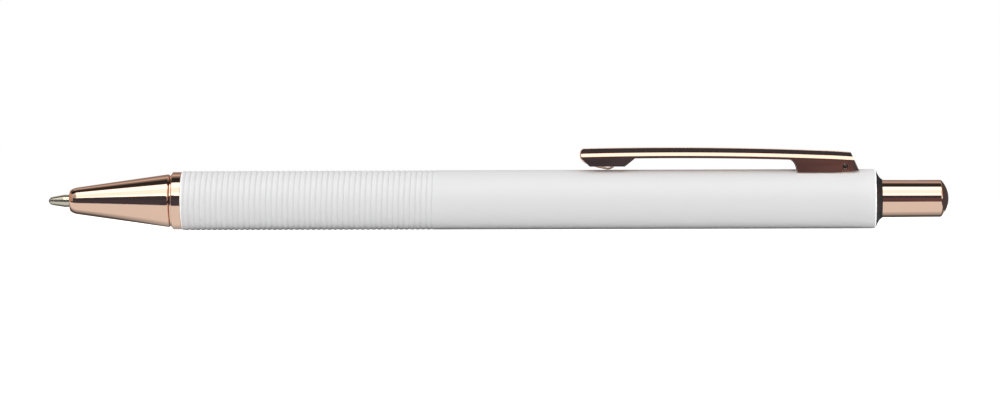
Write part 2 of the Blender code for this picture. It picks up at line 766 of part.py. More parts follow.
def clip_section(along, inset):
    """Half widths and heights of the clip's cross-section, moved inwards by the inset.

    It returns the half widths of the flanges and the rib, then the heights above the barrel of the rib,
    the foot of its riser, the wing's outer edge and the flange's lower edge.
    """
    top = clip_top(along)
    foot = top - CLIP_RISER_FRONT - (CLIP_RISER_REAR - CLIP_RISER_FRONT) * along / CLIP_LENGTH
    edge = foot - CLIP_WING_DROP
    low = edge - CLIP_SIDE_HEIGHT
    contact = math.sqrt(BARREL_R**2 - (CLIP_HALF_WIDTH - CLIP_SHEET) ** 2) - BARREL_R + SEAM
    rising = blend(along, 0.0, FRONT_FLANGE_START)
    falling = blend(along, FRONT_FLANGE_END, FRONT_FLANGE_END + FRONT_FLANGE_SLOPE)
    low += (FRONT_FLANGE_HEIGHT - low) * rising * (1 - falling)
    rear_start = CLIP_LENGTH - REAR_FLANGE_LENGTH - REAR_FLANGE_CURVE
    curve = blend(along, rear_start, rear_start + REAR_FLANGE_CURVE)
    low += (contact - low) * (1 - math.sqrt(1 - curve**2))
    nose_fall = CLIP_NOSE_DROP * (1 - blend(along, 0.0, CLIP_NOSE_SLOPE)) ** 2
    top -= nose_fall
    foot -= nose_fall / 4
    tail = 1 - blend(CLIP_LENGTH - along, 0.0, CLIP_TAIL_SLOPE)
    slant = CLIP_TAIL_END_HEIGHT
    top += (slant - top) * tail
    foot = min(foot, top - (CLIP_RISER_REAR - SEAT_GAP) * (1 - tail) - SEAT_GAP)
    edge = min(edge, foot - (CLIP_WING_DROP - SEAT_GAP) * (1 - tail) - SEAT_GAP)
    half = CLIP_HALF_WIDTH * plan_share(along) - inset
    rib = CLIP_RIB_HALF_WIDTH * plan_share(along) - inset
    return half, rib, top - inset, foot - inset, edge - inset, low


def section_points(along, inset, deeper):
    half, rib, top, foot, edge, low = clip_section(along, inset)
    low -= deeper
    right = [(half, low), (half, edge), (rib, foot), (rib, top)]
    left = [(-y, z) for y, z in reversed(right)]
    return [(y, z + BARREL_R) for y, z in right + left]


def lofted(sections):
    """Bridges cross-sections of equal count, given as (distance along the pen, [(y, z), ...])."""
    bm = bmesh.new()
    rings = [[bm.verts.new((x, y, z)) for y, z in points] for x, points in sections]
    for near, far in zip(rings, rings[1:]):
        for i, a in enumerate(near):
            j = (i + 1) % len(near)
            bm.faces.new((a, near[j], far[j], far[i]))
    bm.faces.new(rings[0])
    bm.faces.new(rings[-1])
    return bm


def clip_stations():
    rear_start = CLIP_LENGTH - REAR_FLANGE_LENGTH - REAR_FLANGE_CURVE
    nose = [CLIP_NOSE_SLOPE * i / 3 for i in range(4)]
    nose += [CLIP_NOSE_SOLID, CLIP_NOSE_ROUND / 2, FRONT_FLANGE_START, CLIP_NOSE_ROUND]
    front = [FRONT_FLANGE_END, FRONT_FLANGE_END + FRONT_FLANGE_SLOPE]
    bow = [front[-1] + (rear_start - front[-1]) * i / 5 for i in range(1, 5)]
    curve = [rear_start + REAR_FLANGE_CURVE * math.sin(math.radians(a)) for a in (0, 30, 50, 70, 90)]
    tail = [CLIP_TAIL_ROUND, CLIP_TAIL_ROUND * 0.78, CLIP_TAIL_SLOPE]
    tail += [CLIP_TAIL_SLOPE * i / 4 for i in (3, 2, 1, 0)]
    return nose + front + bow + curve + [CLIP_LENGTH - t for t in tail]


def make_clip(parent):
    stations = clip_stations()
    outer = lofted([(CLIP_X + s, section_points(s, 0.0, 0.0)) for s in stations])
    origin = Vector((PIVOT_X, 0.0, BARREL_R + PIVOT_HEIGHT))
    clip = add_object("clip", outer, rose_gold_plate(), None, origin, 25)
    cavity = []
    for s in stations:
        if s >= CLIP_NOSE_SOLID:
            wall = CLIP_SHEET if s > CLIP_LENGTH - CLIP_TAIL_ROUND else 0.0
            cavity.append((CLIP_X + s - wall, section_points(s, CLIP_SHEET, MM)))
    combine(clip, lofted(cavity), "DIFFERENCE")
    combine(clip, tongue(), "UNION")
    relief = spun(
        [
            (CLIP_END_X - TAIL_RELIEF_LENGTH, 0.0),
            (CLIP_END_X - TAIL_RELIEF_LENGTH, BARREL_R + TAIL_RELIEF),
            (CLIP_END_X + MM, BARREL_R + TAIL_RELIEF),
            (CLIP_END_X + MM, 0.0),
        ],
        BARREL_SIDES * 2,
    )
    combine(clip, relief, "DIFFERENCE")
    combine(clip, round_bar(PIN_R + PIN_GAP, CLIP_HALF_WIDTH * 1.5, HOLE_SIDES), "DIFFERENCE")
    clip.parent = parent
    clip.location = (0.0, 0.0, 0.0)
    return clip


def tongue():
    """The strip folded back under the clip's nose: it dips to touch the barrel and rises again."""
    low = BARREL_R + SEAM + TONGUE_SHEET / 2
    count = 12
    path = []
    for i in range(count + 1):
        along = TONGUE_START + (TONGUE_END - TONGUE_START) * i / count
        if along < TONGUE_CONTACT:
            height = TONGUE_DROP * (1 - along / TONGUE_CONTACT) ** 2
        else:
            height = TONGUE_RISE * ((along - TONGUE_CONTACT) / (TONGUE_END - TONGUE_CONTACT)) ** 2
        path.append((CLIP_X + along, low + height))
    return prism(strip_outline(path, TONGUE_SHEET), "Y", -TONGUE_HALF_WIDTH, TONGUE_HALF_WIDTH)


def round_bar(radius, half_length, sides):
    """A round bar across the pen on the clip's pivot."""
    centre = (PIVOT_X, BARREL_R + PIVOT_HEIGHT)
    outline = [
        (centre[0] + a, centre[1] + b)
        for a, b in (polar(radius, math.tau * i / sides) for i in range(sides))
    ]
    return prism(outline, "Y", -half_length, half_length)


def make_clip_pin(parent):
    origin = (PIVOT_X, 0.0, BARREL_R + PIVOT_HEIGHT)
    bar = round_bar(PIN_R, CLIP_HALF_WIDTH - SEAM, HOLE_SIDES)
    pin = add_object("clip_pin", bar, spring_steel(), parent, origin)
    pin.location = (0.0, 0.0, 0.0)
    return pin


def curved_plate(inner_r, thickness, widths):
    """A plate that follows the barrel's round, with its half width at each station along the pen."""
    outer_r = inner_r + thickness
    sections = []
    for x, half_width in widths:
        inner_angle = math.degrees(math.asin(half_width / inner_r))
        outer_angle = math.degrees(math.asin(half_width / outer_r))
        outline = arc_points((0.0, 0.0), inner_r, 90 - inner_angle, 90 + inner_angle, 8)
        outline += arc_points((0.0, 0.0), outer_r, 90 + outer_angle, 90 - outer_angle, 8)
        sections.append((x, outline))
    bm = lofted(sections)
    bmesh.ops.triangulate(bm, faces=bm.faces)
    return bm


def make_clip_bracket(parent):
    """The clip's bearing: a foot inside the barrel, a stem through its slot, a saddle and two ears."""
    foot_inner = BORE_R - FITTED_GAP - FOOT_THICKNESS
    saddle_inner = BARREL_R + SEAM
    saddle_outer = saddle_inner + SADDLE_THICKNESS
    front = PIVOT_X - BRACKET_STEM_LENGTH / 2
    rear = PIVOT_X + BRACKET_STEM_LENGTH / 2
    full = SADDLE_HALF_WIDTH
    end = SADDLE_HALF_WIDTH - SADDLE_CORNER_WIDTH
    plan = [(front, end), (front + SADDLE_CORNER, full), (rear - SADDLE_CORNER, full), (rear, end)]
    saddle = curved_plate(saddle_inner, SADDLE_THICKNESS, plan)
    bracket = add_object("clip_bracket", saddle, rose_gold_plate(), parent, (front, 0.0, 0.0))
    plan = [(front - BRACKET_OVERLAP, full), (rear + BRACKET_OVERLAP, full)]
    foot = curved_plate(foot_inner, FOOT_THICKNESS, plan)
    combine(bracket, foot, "UNION")
    stem_half = BRACKET_STEM_HALF_WIDTH
    stem_top = (saddle_inner + math.sqrt(saddle_outer**2 - stem_half**2)) / 2
    stem = box(
        (front + PIN_GAP, -stem_half, foot_inner + FOOT_THICKNESS / 2),
        (rear - PIN_GAP, stem_half, stem_top),
    )
    combine(bracket, stem, "UNION")
    ear_floor = math.sqrt(saddle_outer**2 - EAR_HALF_SPAN**2) - SADDLE_THICKNESS / 4
    for inner_side in (-EAR_HALF_SPAN, EAR_HALF_SPAN - EAR_THICKNESS):
        ear = box(
            (PIVOT_X - EAR_LENGTH / 2, inner_side, ear_floor),
            (PIVOT_X + EAR_LENGTH / 2, inner_side + EAR_THICKNESS, BARREL_R + EAR_HEIGHT),
        )
        combine(bracket, ear, "UNION")
    groove = round_bar(PIN_R + PIN_GAP, CLIP_HALF_WIDTH, HOLE_SIDES)
    combine(bracket, groove, "DIFFERENCE")
    return bracket


def make_clip_spring(parent):
    """A leaf bent into a hook: it stands on the saddle behind the pivot and presses the clip's tail up."""
    floor = BARREL_R + SEAM + SADDLE_THICKNESS + SEAM + LEAF_THICKNESS / 2
    near = PIVOT_X + PIN_R + 2 * RUNNING_GAP
    roof_at = CLIP_LENGTH - CLIP_TAIL + near - PIVOT_X
    roof = BARREL_R + clip_top(roof_at) - CLIP_SHEET - SEAT_GAP - LEAF_THICKNESS
    back = near + LEAF_LENGTH
    path = [
        (near, floor),
        (back - 2 * SEAT_GAP, floor),
        (back, floor + SEAT_GAP),
        (back, floor + 4 * SEAT_GAP),
        (near + LEAF_LENGTH / 2, (floor + roof) / 2),
        (near - SEAT_GAP, roof - 3 * SEAT_GAP),
        (near - 2 * SEAT_GAP, roof),
    ]
    bm = prism(strip_outline(path, LEAF_THICKNESS), "Y", -LEAF_HALF_WIDTH, LEAF_HALF_WIDTH)
    return add_object("clip_spring", bm, spring_steel(), parent, (near, 0.0, floor))


def main():
    clear_scene()
    body = empty("pen_axis", (-OVERALL_LENGTH / 2, 0.0, AXIS_HEIGHT))
    button = empty("button_slide", (0.0, 0.0, 0.0), body)
    refill = empty("refill_slide", (0.0, 0.0, 0.0), body)
    rotor = empty("rotor_turn", (0.0, 0.0, 0.0), refill)
    nose = empty("nose_unscrew", (0.0, 0.0, 0.0), body)
    pivot = empty("clip_pivot", (PIVOT_X, 0.0, BARREL_R + PIVOT_HEIGHT), body)

    make_barrel(body)
    make_trim_ring(body)
    make_front_bush(body)
    make_end_cone(body)
    make_cam_sleeve(body)
    make_clip_bracket(body)
    make_clip_spring(body)

    make_clip(pivot)
    make_clip_pin(pivot)

    make_push_button(button)
    make_plunger(button)

    make_writing_ball(refill)
    make_refill_point(refill)
    make_point_holder(refill)
    make_refill_tube(refill)
    make_ink(refill)
    make_cam_rotor(rotor)

    make_nose_cone(nose)
    make_return_spring(nose)
    print(f"overall length {OVERALL_LENGTH / MM:.2f} mm, refill {REFILL_END_X / MM:.2f} mm")


main()
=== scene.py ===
"""Retractable metal ballpoint pen: fine surfaces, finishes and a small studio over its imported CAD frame.

The pen lies along X with its point at the low end and its push button at the high end, and the clip is
on top. Every turned piece is a profile of distance along the pen and radius, carried round the pen's
axis. Lengths are in metres.
"""

import math

import bmesh
import bpy
import numpy as np
from mathutils import Euler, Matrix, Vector


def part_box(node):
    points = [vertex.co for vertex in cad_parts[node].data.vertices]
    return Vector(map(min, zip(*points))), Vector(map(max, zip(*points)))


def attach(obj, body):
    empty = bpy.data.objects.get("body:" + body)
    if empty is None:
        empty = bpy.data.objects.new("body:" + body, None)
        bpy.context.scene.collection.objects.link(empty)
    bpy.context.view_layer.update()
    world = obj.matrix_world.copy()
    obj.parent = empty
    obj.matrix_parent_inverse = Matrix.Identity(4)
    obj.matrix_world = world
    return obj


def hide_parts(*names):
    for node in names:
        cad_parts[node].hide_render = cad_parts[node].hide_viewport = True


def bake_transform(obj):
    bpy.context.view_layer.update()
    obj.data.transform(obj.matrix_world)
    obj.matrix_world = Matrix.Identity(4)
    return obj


bl_info = {
    "name": "Retractable ballpoint pen",
    "version": (1, 0, 0),
    "blender": (4, 5, 0),
    "location": "3D View > Sidebar > Pen",
    "description": "Turned, stamped and lacquered pieces of a click pen, and the stage it lies on",
    "category": "Add Mesh",
}

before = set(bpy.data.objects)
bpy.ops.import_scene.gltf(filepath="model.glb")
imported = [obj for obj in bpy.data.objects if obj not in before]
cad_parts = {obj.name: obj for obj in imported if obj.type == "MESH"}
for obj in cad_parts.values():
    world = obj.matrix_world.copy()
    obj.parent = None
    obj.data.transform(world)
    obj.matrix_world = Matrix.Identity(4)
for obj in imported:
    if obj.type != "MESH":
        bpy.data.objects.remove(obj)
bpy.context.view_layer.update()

MM = 0.001
CAD_FACETS = 32
CAD_SMALL_FACETS = 24
TURNED_SIDES = 96
SMALL_SIDES = 64
SMALL_GAP = 0.05 * MM
HAIR = 0.01 * MM

# The ring's seams, seen on the side that faces the camera, lie this far behind the solids' edges
SEAM_SHIFT = 0.28 * MM

# Radii of the fits between pieces
SPIGOT_R = 3.27 * MM
SPIGOT_HOLE_R = 3.37 * MM
BUSH_R = 3.79 * MM
BUTTON_R = 2.9 * MM
FEED_R = 0.45 * MM
SPRING_WIRE = 0.35 * MM
BALL_SEAT_R = 0.2 * MM


def start_of(node):
    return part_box(node)[0].x


def end_of(node):
    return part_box(node)[1].x


def ends_of(node):
    return start_of(node), end_of(node)


def radius_of(node, facets=CAD_FACETS):
    """The radius through the corners of a faceted turned node, whose box touches its flats."""
    low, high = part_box(node)
    return (high.y - low.y) / 2 / math.cos(math.pi / facets)


AXIS_Z = (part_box("push_button")[0].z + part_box("push_button")[1].z) / 2
BARREL_R = radius_of("barrel")
RING_START_X = start_of("trim_ring") + SEAM_SHIFT
RING_END_X = end_of("trim_ring") + SEAM_SHIFT
NOSE_REAR_X = RING_START_X - SMALL_GAP
PIVOT = (Vector(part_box("clip_pin")[0]) + Vector(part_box("clip_pin")[1])) / 2


def length(name, description, default):
    """A size whose default is given in millimetres."""
    return bpy.props.FloatProperty(
        name=name, description=description, default=default * MM, unit="LENGTH", precision=5, min=0.0
    )


def colour(name, description, hex_value):
    value = linear(hex_value)
    return bpy.props.FloatVectorProperty(
        name=name, description=description, default=value, subtype="COLOR", size=3, min=0.0, max=1.0
    )


def linear(hex_value):
    """The three linear values of an sRGB hex colour."""
    values = np.array([int(hex_value[i : i + 2], 16) for i in (1, 3, 5)]) / 255
    low = values / 12.92
    high = ((values + 0.055) / 1.055) ** 2.4
    return tuple(float(v) for v in np.where(values <= 0.04045, low, high))


class PenBarrelSizes(bpy.types.PropertyGroup):
    groove_pitch: length("Groove pitch", "How far the grip's spiral groove climbs a turn", 0.8576)
    groove_depth: length("Groove depth", "Depth of the spiral groove", 0.1)
    groove_width: length("Groove width", "Width of the groove at half its depth", 0.28)
    groove_turns: bpy.props.IntProperty(
        name="Groove turns", description="Turns of the groove on the grip", default=45, min=1
    )
    grip_start: length("Grip start", "From the barrel's front to the groove's first pass", 0.5)
    wall: length("Wall", "Thickness of the barrel's tube", 0.75)
    edge_round: length("Edge round", "Rounding of the barrel's ends", 0.24)
    slot_length: length("Slot length", "Length of the slot for the clip's bracket", 3.2)
    slot_width: length("Slot width", "Width of the slot for the clip's bracket", 2.9)


class PenTrimSizes(bpy.types.PropertyGroup):
    nose_front: length("Nose front diameter", "Diameter that the cone runs out to at its front", 3.88)
    nose_rear: length("Nose rear diameter", "Diameter of the cone next to the ring", 8.36)
    nose_round: length("Nose rounding", "How far the rounded front draws in", 0.5)
    nose_round_length: length("Nose rounding length", "Length of the rounded front", 1.3)
    nose_lip: length("Nose lip", "Rounding of the cone's rear edge", 0.42)
    mouth: length("Mouth diameter", "Hole that the point comes out of", 2.14)
    pocket: length("Pocket diameter", "Bore that holds the spring", 4.2)
    thread_pitch: length("Thread pitch", "Pitch of the thread behind the cone", 0.75)
    thread_depth: length("Thread depth", "Depth of that thread", 0.22)
    ring_neck: length("Ring neck diameter", "Diameter of the groove in front of the ring", 8.2)
    ring_neck_length: length("Ring neck length", "Width of that groove", 0.2)
    ring_edge: length("Ring edge", "Rounding of the ring's front edge", 0.2)
    button_taper: length("Button taper", "How much the button narrows over its front half", 0.04)
    button_edge: length("Button edge", "Rounding where the button's side meets its dome", 0.45)
    button_dome: length("Button dome", "Radius of the dome", 4.15)
    button_wall: length("Button wall", "Thickness of the button's tube", 0.5)


class PenClipSizes(bpy.types.PropertyGroup):
    sheet: length("Sheet", "Thickness of the clip's sheet", 0.3)
    half_width: length("Half width", "From the middle to the flanges", 2.5)
    rib_half_width: length("Rib half width", "From the middle to the raised rib's side", 2.275)
    rib_lean: length("Rib lean", "How far each of the rib's sides leans inwards", 0.02)
    height_front: length("Front height", "Rib above the barrel at the nose", 3.25)
    height_middle: length("Middle height", "Rib above the barrel at its highest", 3.36)
    height_rear: length("Rear height", "Rib above the barrel at the tail", 2.58)
    riser_front: length("Front riser", "Height of the rib's side at the nose", 0.84)
    riser_rear: length("Rear riser", "Height of the rib's side at the tail", 0.73)
    wing_drop: length("Wing drop", "How far the sloping wings fall", 0.37)
    side_height: length("Side height", "Height of the turned-down edge in the middle", 0.42)
    bend: length("Bend radius", "Outer radius of the clip's bends", 0.09)
    tip_height: length("Tip height", "Foremost point above the barrel", 2.24)


class PenColours(bpy.types.PropertyGroup):
    lacquer: colour("Lacquer", "Barrel lacquer", "#ECECED")
    rose_gold: colour("Rose gold", "Plating of the trim", "#F2CFB8")
    collar: colour("Collar", "Moulded black collar", "#1F1E20")
    nickel_silver: colour("Nickel silver", "Metal of the refill's point", "#DAD4C0")
    carbide: colour("Carbide", "Writing ball", "#66666E")
    ink: colour("Ink", "Ink in the refill", "#10206E")


GROUPS = {
    "pen_barrel": PenBarrelSizes,
    "pen_trim": PenTrimSizes,
    "pen_clip": PenClipSizes,
    "pen_colours": PenColours,
}


def share_between(x, low, high):
    """How far x is on its way from low to high, from 0 to 1."""
    return np.clip((x - low) / (high - low), 0.0, 1.0)


def arc(centre, radius, first, last, steps):
    """Points at even angles round a centre."""
    angles = np.linspace(first, last, steps)
    return np.stack([np.cos(angles), np.sin(angles)], 1) * radius + centre


def corner_arc(before, corner, after, radius, steps):
    """Points of the arc of that radius that touches both sides of a corner.

    The arc starts radius / tan(half the corner's angle) before the corner, and its centre lies on the
    corner's bisector.
    """
    u = (before - corner) / np.linalg.norm(before - corner)
    v = (after - corner) / np.linalg.norm(after - corner)
    half = math.acos(np.clip(u @ v, -1.0, 1.0)) / 2
    if radius <= 0 or half > math.radians(89.9):
        return corner[None]
    centre = corner + (u + v) / np.linalg.norm(u + v) * radius / math.sin(half)
    reach = radius / math.tan(half)
    first = math.atan2(*(corner + u * reach - centre)[::-1])
    turn = math.atan2(*(corner + v * reach - centre)[::-1]) - first
    turn = (turn + math.pi) % math.tau - math.pi
    return arc(centre, radius, first, first + turn, steps)


def outline(*corners):
    """A closed outline through corners of (distance along the pen, radius, rounding)."""
    points = np.array([c[:2] for c in corners])
    sides = zip(np.roll(points, 1, 0), points, np.roll(points, -1, 0), corners)
    return np.concatenate([corner_arc(before, at, after, c[2], 6) for before, at, after, c in sides])


def quads(rows, columns, closed_rows=False):
    """Faces of a grid whose point (i, j) has the index i * columns + j. The columns always close."""
    i = np.arange(rows if closed_rows else rows - 1)[:, None]
    j = np.arange(columns)[None, :]
    right = (j + 1) % columns
    below = (i + 1) % rows * columns
    here = i * columns
    return np.stack([here + j, here + right, below + right, below + j], -1).reshape(-1, 4)


def put(name, data):
    """A new object of that data, in the scene."""
    made = bpy.data.objects.new(name, data)
    bpy.context.scene.collection.objects.link(made)
    return made


def new_piece(name, points, faces, sharp=32):
    """A mesh object from arrays of points and faces, with its doubles merged and its faces outwards."""
    mesh = bpy.data.meshes.new(name)
    mesh.from_pydata(points, [], faces)
    bm = bmesh.new()
    bm.from_mesh(mesh)
    bmesh.ops.remove_doubles(bm, verts=bm.verts, dist=1e-7)
    bmesh.ops.recalc_face_normals(bm, faces=bm.faces)
    bm.to_mesh(mesh)
    bm.free()
    mesh.shade_smooth()
    mesh.set_sharp_from_angle(angle=math.radians(sharp))
    return put(name, mesh)


def fit(piece, body, slot, material, *nodes):
    """Gives a finished piece its material and its body, and hides the CAD nodes that it stands for. The slot
    is not used.
    """
    piece.data.materials.append(material)
    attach(piece, body)
    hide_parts(*nodes)


def around_axis(profile, sides, relief=None):
    """Points of a profile (x, r) carried round the pen's axis.

    At the turn a, y = r sin(a) and z = axis + r cos(a). A relief is a height that depends on x and a, and
    is added to r.
    """
    a = np.arange(sides) / sides * math.tau
    x = np.repeat(profile[:, :1], sides, 1)
    r = np.repeat(profile[:, 1:], sides, 1)
    if relief is not None:
        r = r + relief(x, r, a[None, :])
    return np.stack([x, r * np.sin(a), AXIS_Z + r * np.cos(a)], -1).reshape(-1, 3)


def turned(name, profile, sides=TURNED_SIDES, relief=None, sharp=32):
    """A solid of revolution: a closed profile carried round the pen's axis."""
    points = around_axis(profile, sides, relief)
    return new_piece(name, points, quads(len(profile), sides, closed_rows=True), sharp)


def barrel_profile(sizes, start, end):
    """The barrel's outside without its groove, front to rear, with 16 points a turn along the grip."""
    reach = sizes.grip_start + (sizes.groove_turns + 1) * sizes.groove_pitch
    behind_edge = 0.3 * MM
    x = start + np.arange(behind_edge, reach, sizes.groove_pitch / 16)
    side, inward = np.array([start + MM, BARREL_R]), np.array([0.0, MM])
    front = np.array([start, BARREL_R])
    rear = np.array([end, BARREL_R])
    lead_in = corner_arc(front - inward, front, side, sizes.edge_round, 7)
    lead_out = corner_arc(side, rear, rear - inward, sizes.edge_round, 7)
    return np.concatenate([lead_in, np.stack([x, np.full(len(x), BARREL_R)], 1), lead_out])


def make_barrel(sizes):
    """The barrel: its outside and its bore carried round the axis, with a slot for the clip's bracket.

    The grip's groove is a helix. At the turn a it lowers the outside by depth * exp(-(d / w) ** 2), where d
    is the distance along the pen to the groove's nearest pass and its passes climb one pitch a turn. It
    runs in and out at its ends. The slot is one row of faces left out of the outside and of the bore,
    closed with four walls.
    """
    runout = 0.1 * MM
    start, end = RING_END_X + HAIR, end_of("barrel")
    bore = BARREL_R - sizes.wall
    slot = PIVOT.x + np.array([-0.5, 0.5]) * sizes.slot_length
    outside = barrel_profile(sizes, start, end)
    cut = np.searchsorted(outside[:, 0], slot[0])
    outside = np.insert(outside, cut, np.stack([slot, [BARREL_R] * 2], 1), axis=0)
    inside = np.array([[end, bore], [slot[1], bore], [slot[0], bore], [start, bore]])
    first = start + sizes.grip_start
    last = first + sizes.groove_turns * sizes.groove_pitch
    width = sizes.groove_width / 2 / math.sqrt(math.log(2))

    def groove(x, r, a):
        passes = (x - first) / sizes.groove_pitch - (a / math.tau - 0.75)
        away = (passes - np.round(passes)) * sizes.groove_pitch
        fade = share_between(x, start + runout, first) * share_between(x, last + 5 * runout, last + runout)
        return -sizes.groove_depth * np.exp(-((away / width) ** 2)) * fade * (r > BARREL_R - HAIR)

    profile = np.concatenate([outside, inside])
    sides = TURNED_SIDES
    faces = quads(len(profile), sides, closed_rows=True)
    half = int(round(sizes.slot_width / 2 / BARREL_R / math.tau * sides))
    columns = np.arange(-half, half) % sides
    rows = np.array([cut, len(outside) + 1])
    left_out = (rows[:, None] * sides + columns[None, :]).ravel()
    faces = np.delete(faces, left_out, axis=0)
    edge = np.arange(-half, half + 1) % sides
    outer = np.array([cut, cut + 1])[:, None] * sides + edge
    inner = (len(outside) + np.array([2, 1]))[:, None] * sides + edge
    ends = [np.stack([outer[k, :-1], outer[k, 1:], inner[k, 1:], inner[k, :-1]], 1) for k in (0, 1)]
    flanks = [[outer[0, k], outer[1, k], inner[1, k], inner[0, k]] for k in (0, -1)]
    faces = np.concatenate([faces, *ends, np.array(flanks)])
    return new_piece("barrel_tube", around_axis(profile, sides, groove), faces, 50)


def make_nose(sizes):
    """The nose cone: a straight taper with an elliptical front, a lip, a threaded spigot and its bores.

    The front is x = L (1 - cos a), r = front - h (1 - sin a) plus the taper, for a from 0 to 90 degrees.
    The thread sinks the spigot by depth times a triangle wave of x / pitch + turn.
    """
    start, rear, end = start_of("nose_cone"), NOSE_REAR_X, end_of("nose_cone")
    front_r, rear_r = sizes.nose_front / 2, sizes.nose_rear / 2
    slope = (rear_r - front_r) / (rear - start)
    a = np.radians(np.linspace(0.0, 90.0, 14))
    x = start + sizes.nose_round_length * (1 - np.cos(a))
    r = front_r - sizes.nose_round * (1 - np.sin(a)) + slope * (x - start)
    spring_room = 0.2 * MM
    seat = start_of("return_spring") - spring_room
    back = outline(
        (rear, rear_r, sizes.nose_lip),
        (rear, SPIGOT_R, 0.0),
        (end, SPIGOT_R, 0.15 * MM),
        (end, sizes.pocket / 2, 0.1 * MM),
        (seat, sizes.pocket / 2, 0.05 * MM),
        (seat, sizes.mouth / 2, 0.0),
        (start, sizes.mouth / 2, 0.08 * MM),
        (x[-1], r[-1], 0.0),
    )[:-1]
    thread_start, thread_end = rear + 0.8 * MM, end - 0.5 * MM
    on_spigot = np.flatnonzero((back[:, 0] == rear) & (back[:, 1] == SPIGOT_R))[0] + 1
    steps = np.arange(thread_start, thread_end, sizes.thread_pitch / 8)
    back = np.insert(back, on_spigot, np.stack([steps, np.full(len(steps), SPIGOT_R)], 1), axis=0)

    def thread(x, r, a):
        phase = (x / sizes.thread_pitch + a / math.tau) % 1.0
        fade = share_between(x, thread_start, thread_start + MM)
        fade *= share_between(x, thread_end, thread_end - MM)
        on_thread = np.isclose(r, SPIGOT_R, rtol=0, atol=1e-9)
        return -sizes.thread_depth * np.abs(2 * phase - 1) * fade * on_thread

    profile = np.concatenate([np.stack([x, r], 1), back])
    return turned("nose_shell", profile, relief=thread)


def make_ring(sizes):
    """The trim ring: a neck, then a band with a rounded front edge and a softened rear edge."""
    start, end = RING_START_X, RING_END_X
    outer = radius_of("trim_ring")
    burr = 0.03 * MM
    shoulder = start + sizes.ring_neck_length
    profile = outline(
        (start, SPIGOT_HOLE_R, burr),
        (start, sizes.ring_neck / 2, burr),
        (shoulder, sizes.ring_neck / 2, 0.0),
        (shoulder, outer, sizes.ring_edge),
        (end, outer, 0.05 * MM),
        (end, SPIGOT_HOLE_R, burr),
    )
    return turned("trim_band", profile)


def make_button(sizes):
    """The push button: a slightly tapered tube with a lip inside the barrel and a domed end.

    The dome is a sphere of radius S. The edge between it and the side is an arc of radius e that touches
    both: its centre is e inside the side, and S - e from the sphere's centre.
    """
    start, end = ends_of("push_button")
    lip_r, bore = radius_of("push_button"), BUTTON_R - sizes.button_wall
    collar = end_of("end_cone")
    lip_length = end_wall = 0.6 * MM
    lip_end = start + lip_length
    taper_end = collar + 7.2 * MM
    rear_r = BUTTON_R - sizes.button_taper / 2
    centre_r = rear_r - sizes.button_edge
    slant = math.asin(centre_r / (sizes.button_dome - sizes.button_edge))
    centre_x = end - sizes.button_dome + (sizes.button_dome - sizes.button_edge) * math.cos(slant)
    side = outline(
        (start, bore, 0.05 * MM),
        (start, lip_r, 0.1 * MM),
        (lip_end, lip_r, 0.1 * MM),
        (lip_end, BUTTON_R, 0.0),
        (collar, BUTTON_R + sizes.button_taper / 2, 0.0),
        (taper_end, rear_r, 0.0),
        (centre_x, rear_r, 0.0),
    )[:-1]
    edge = arc((centre_x, centre_r), sizes.button_edge, math.pi / 2, slant, 12)
    dome = arc((end - sizes.button_dome, 0.0), sizes.button_dome, slant, 0.0, 16)[1:]
    floor = centre_x - end_wall
    hollow = np.array([[floor, 0.0], [floor, bore]])
    return turned("button_cap", np.concatenate([side, edge, dome, hollow]))


def make_collar():
    """The black collar: a thin rim on the barrel's end that sweeps in to the button in a hollow curve.

    Over t from 0 to 1 its radius goes from the rim's to the lip's by the share 1 - (1 - t) ** 1.7.
    """
    start, end = ends_of("end_cone")
    rim = end_of("barrel") + SMALL_GAP
    bore = BUTTON_R + 2 * SMALL_GAP
    spigot = BARREL_R - 0.81 * MM
    rim_r, lip_r = 4.4 * MM, 3.06 * MM
    t = np.linspace(0.0, 1.0, 10)
    sweep = np.stack([rim + (end - rim) * t, rim_r + (lip_r - rim_r) * (1 - (1 - t) ** 1.7)], 1)
    inner = np.array([[end, bore], [start, bore], [start, spigot], [rim, spigot]])
    return turned("end_collar", np.concatenate([sweep, inner]), sharp=40)


def make_ball():
    """The writing ball: a sphere as a half circle carried round the axis."""
    low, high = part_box("writing_ball")
    radius = (high.x - low.x) / 2
    return turned("carbide_ball", arc((low.x + radius, 0.0), radius, math.pi, 0.0, 33), SMALL_SIDES)


def make_point():
    """The refill's point: a rolled lip round the ball, a slightly swelling cone, a shank and its bore.

    Over t from 0 to 1 the cone's radius goes from its front's to its rear's by the share t ** 0.93.
    """
    start, end = ends_of("refill_point")
    shank = radius_of("refill_point", CAD_SMALL_FACETS)
    seat = (0.55 * MM, BALL_SEAT_R)
    lip = [(0.3 * MM, 0.53 * MM), (0.0, 0.5 * MM), (0.03 * MM, 0.55 * MM)]
    cone_x, cone_length = start + 0.12 * MM, 2.05 * MM
    front_r, rear_r = 0.58 * MM, 0.97 * MM
    t = np.linspace(0.0, 1.0, 12)
    cone = np.stack([cone_x + cone_length * t, front_r + (rear_r - front_r) * t**0.93], 1)
    shoulder = start + 2.2 * MM
    rest = outline(
        (shoulder, shank, 0.0),
        (end, shank, 0.1 * MM),
        (end, FEED_R, 0.0),
        (shoulder, FEED_R, 0.0),
        (shoulder, BALL_SEAT_R, 0.0),
    )
    front = np.array([seat, *lip]) + (start, 0.0)
    return turned("point_body", np.concatenate([front, cone, rest]), SMALL_SIDES)


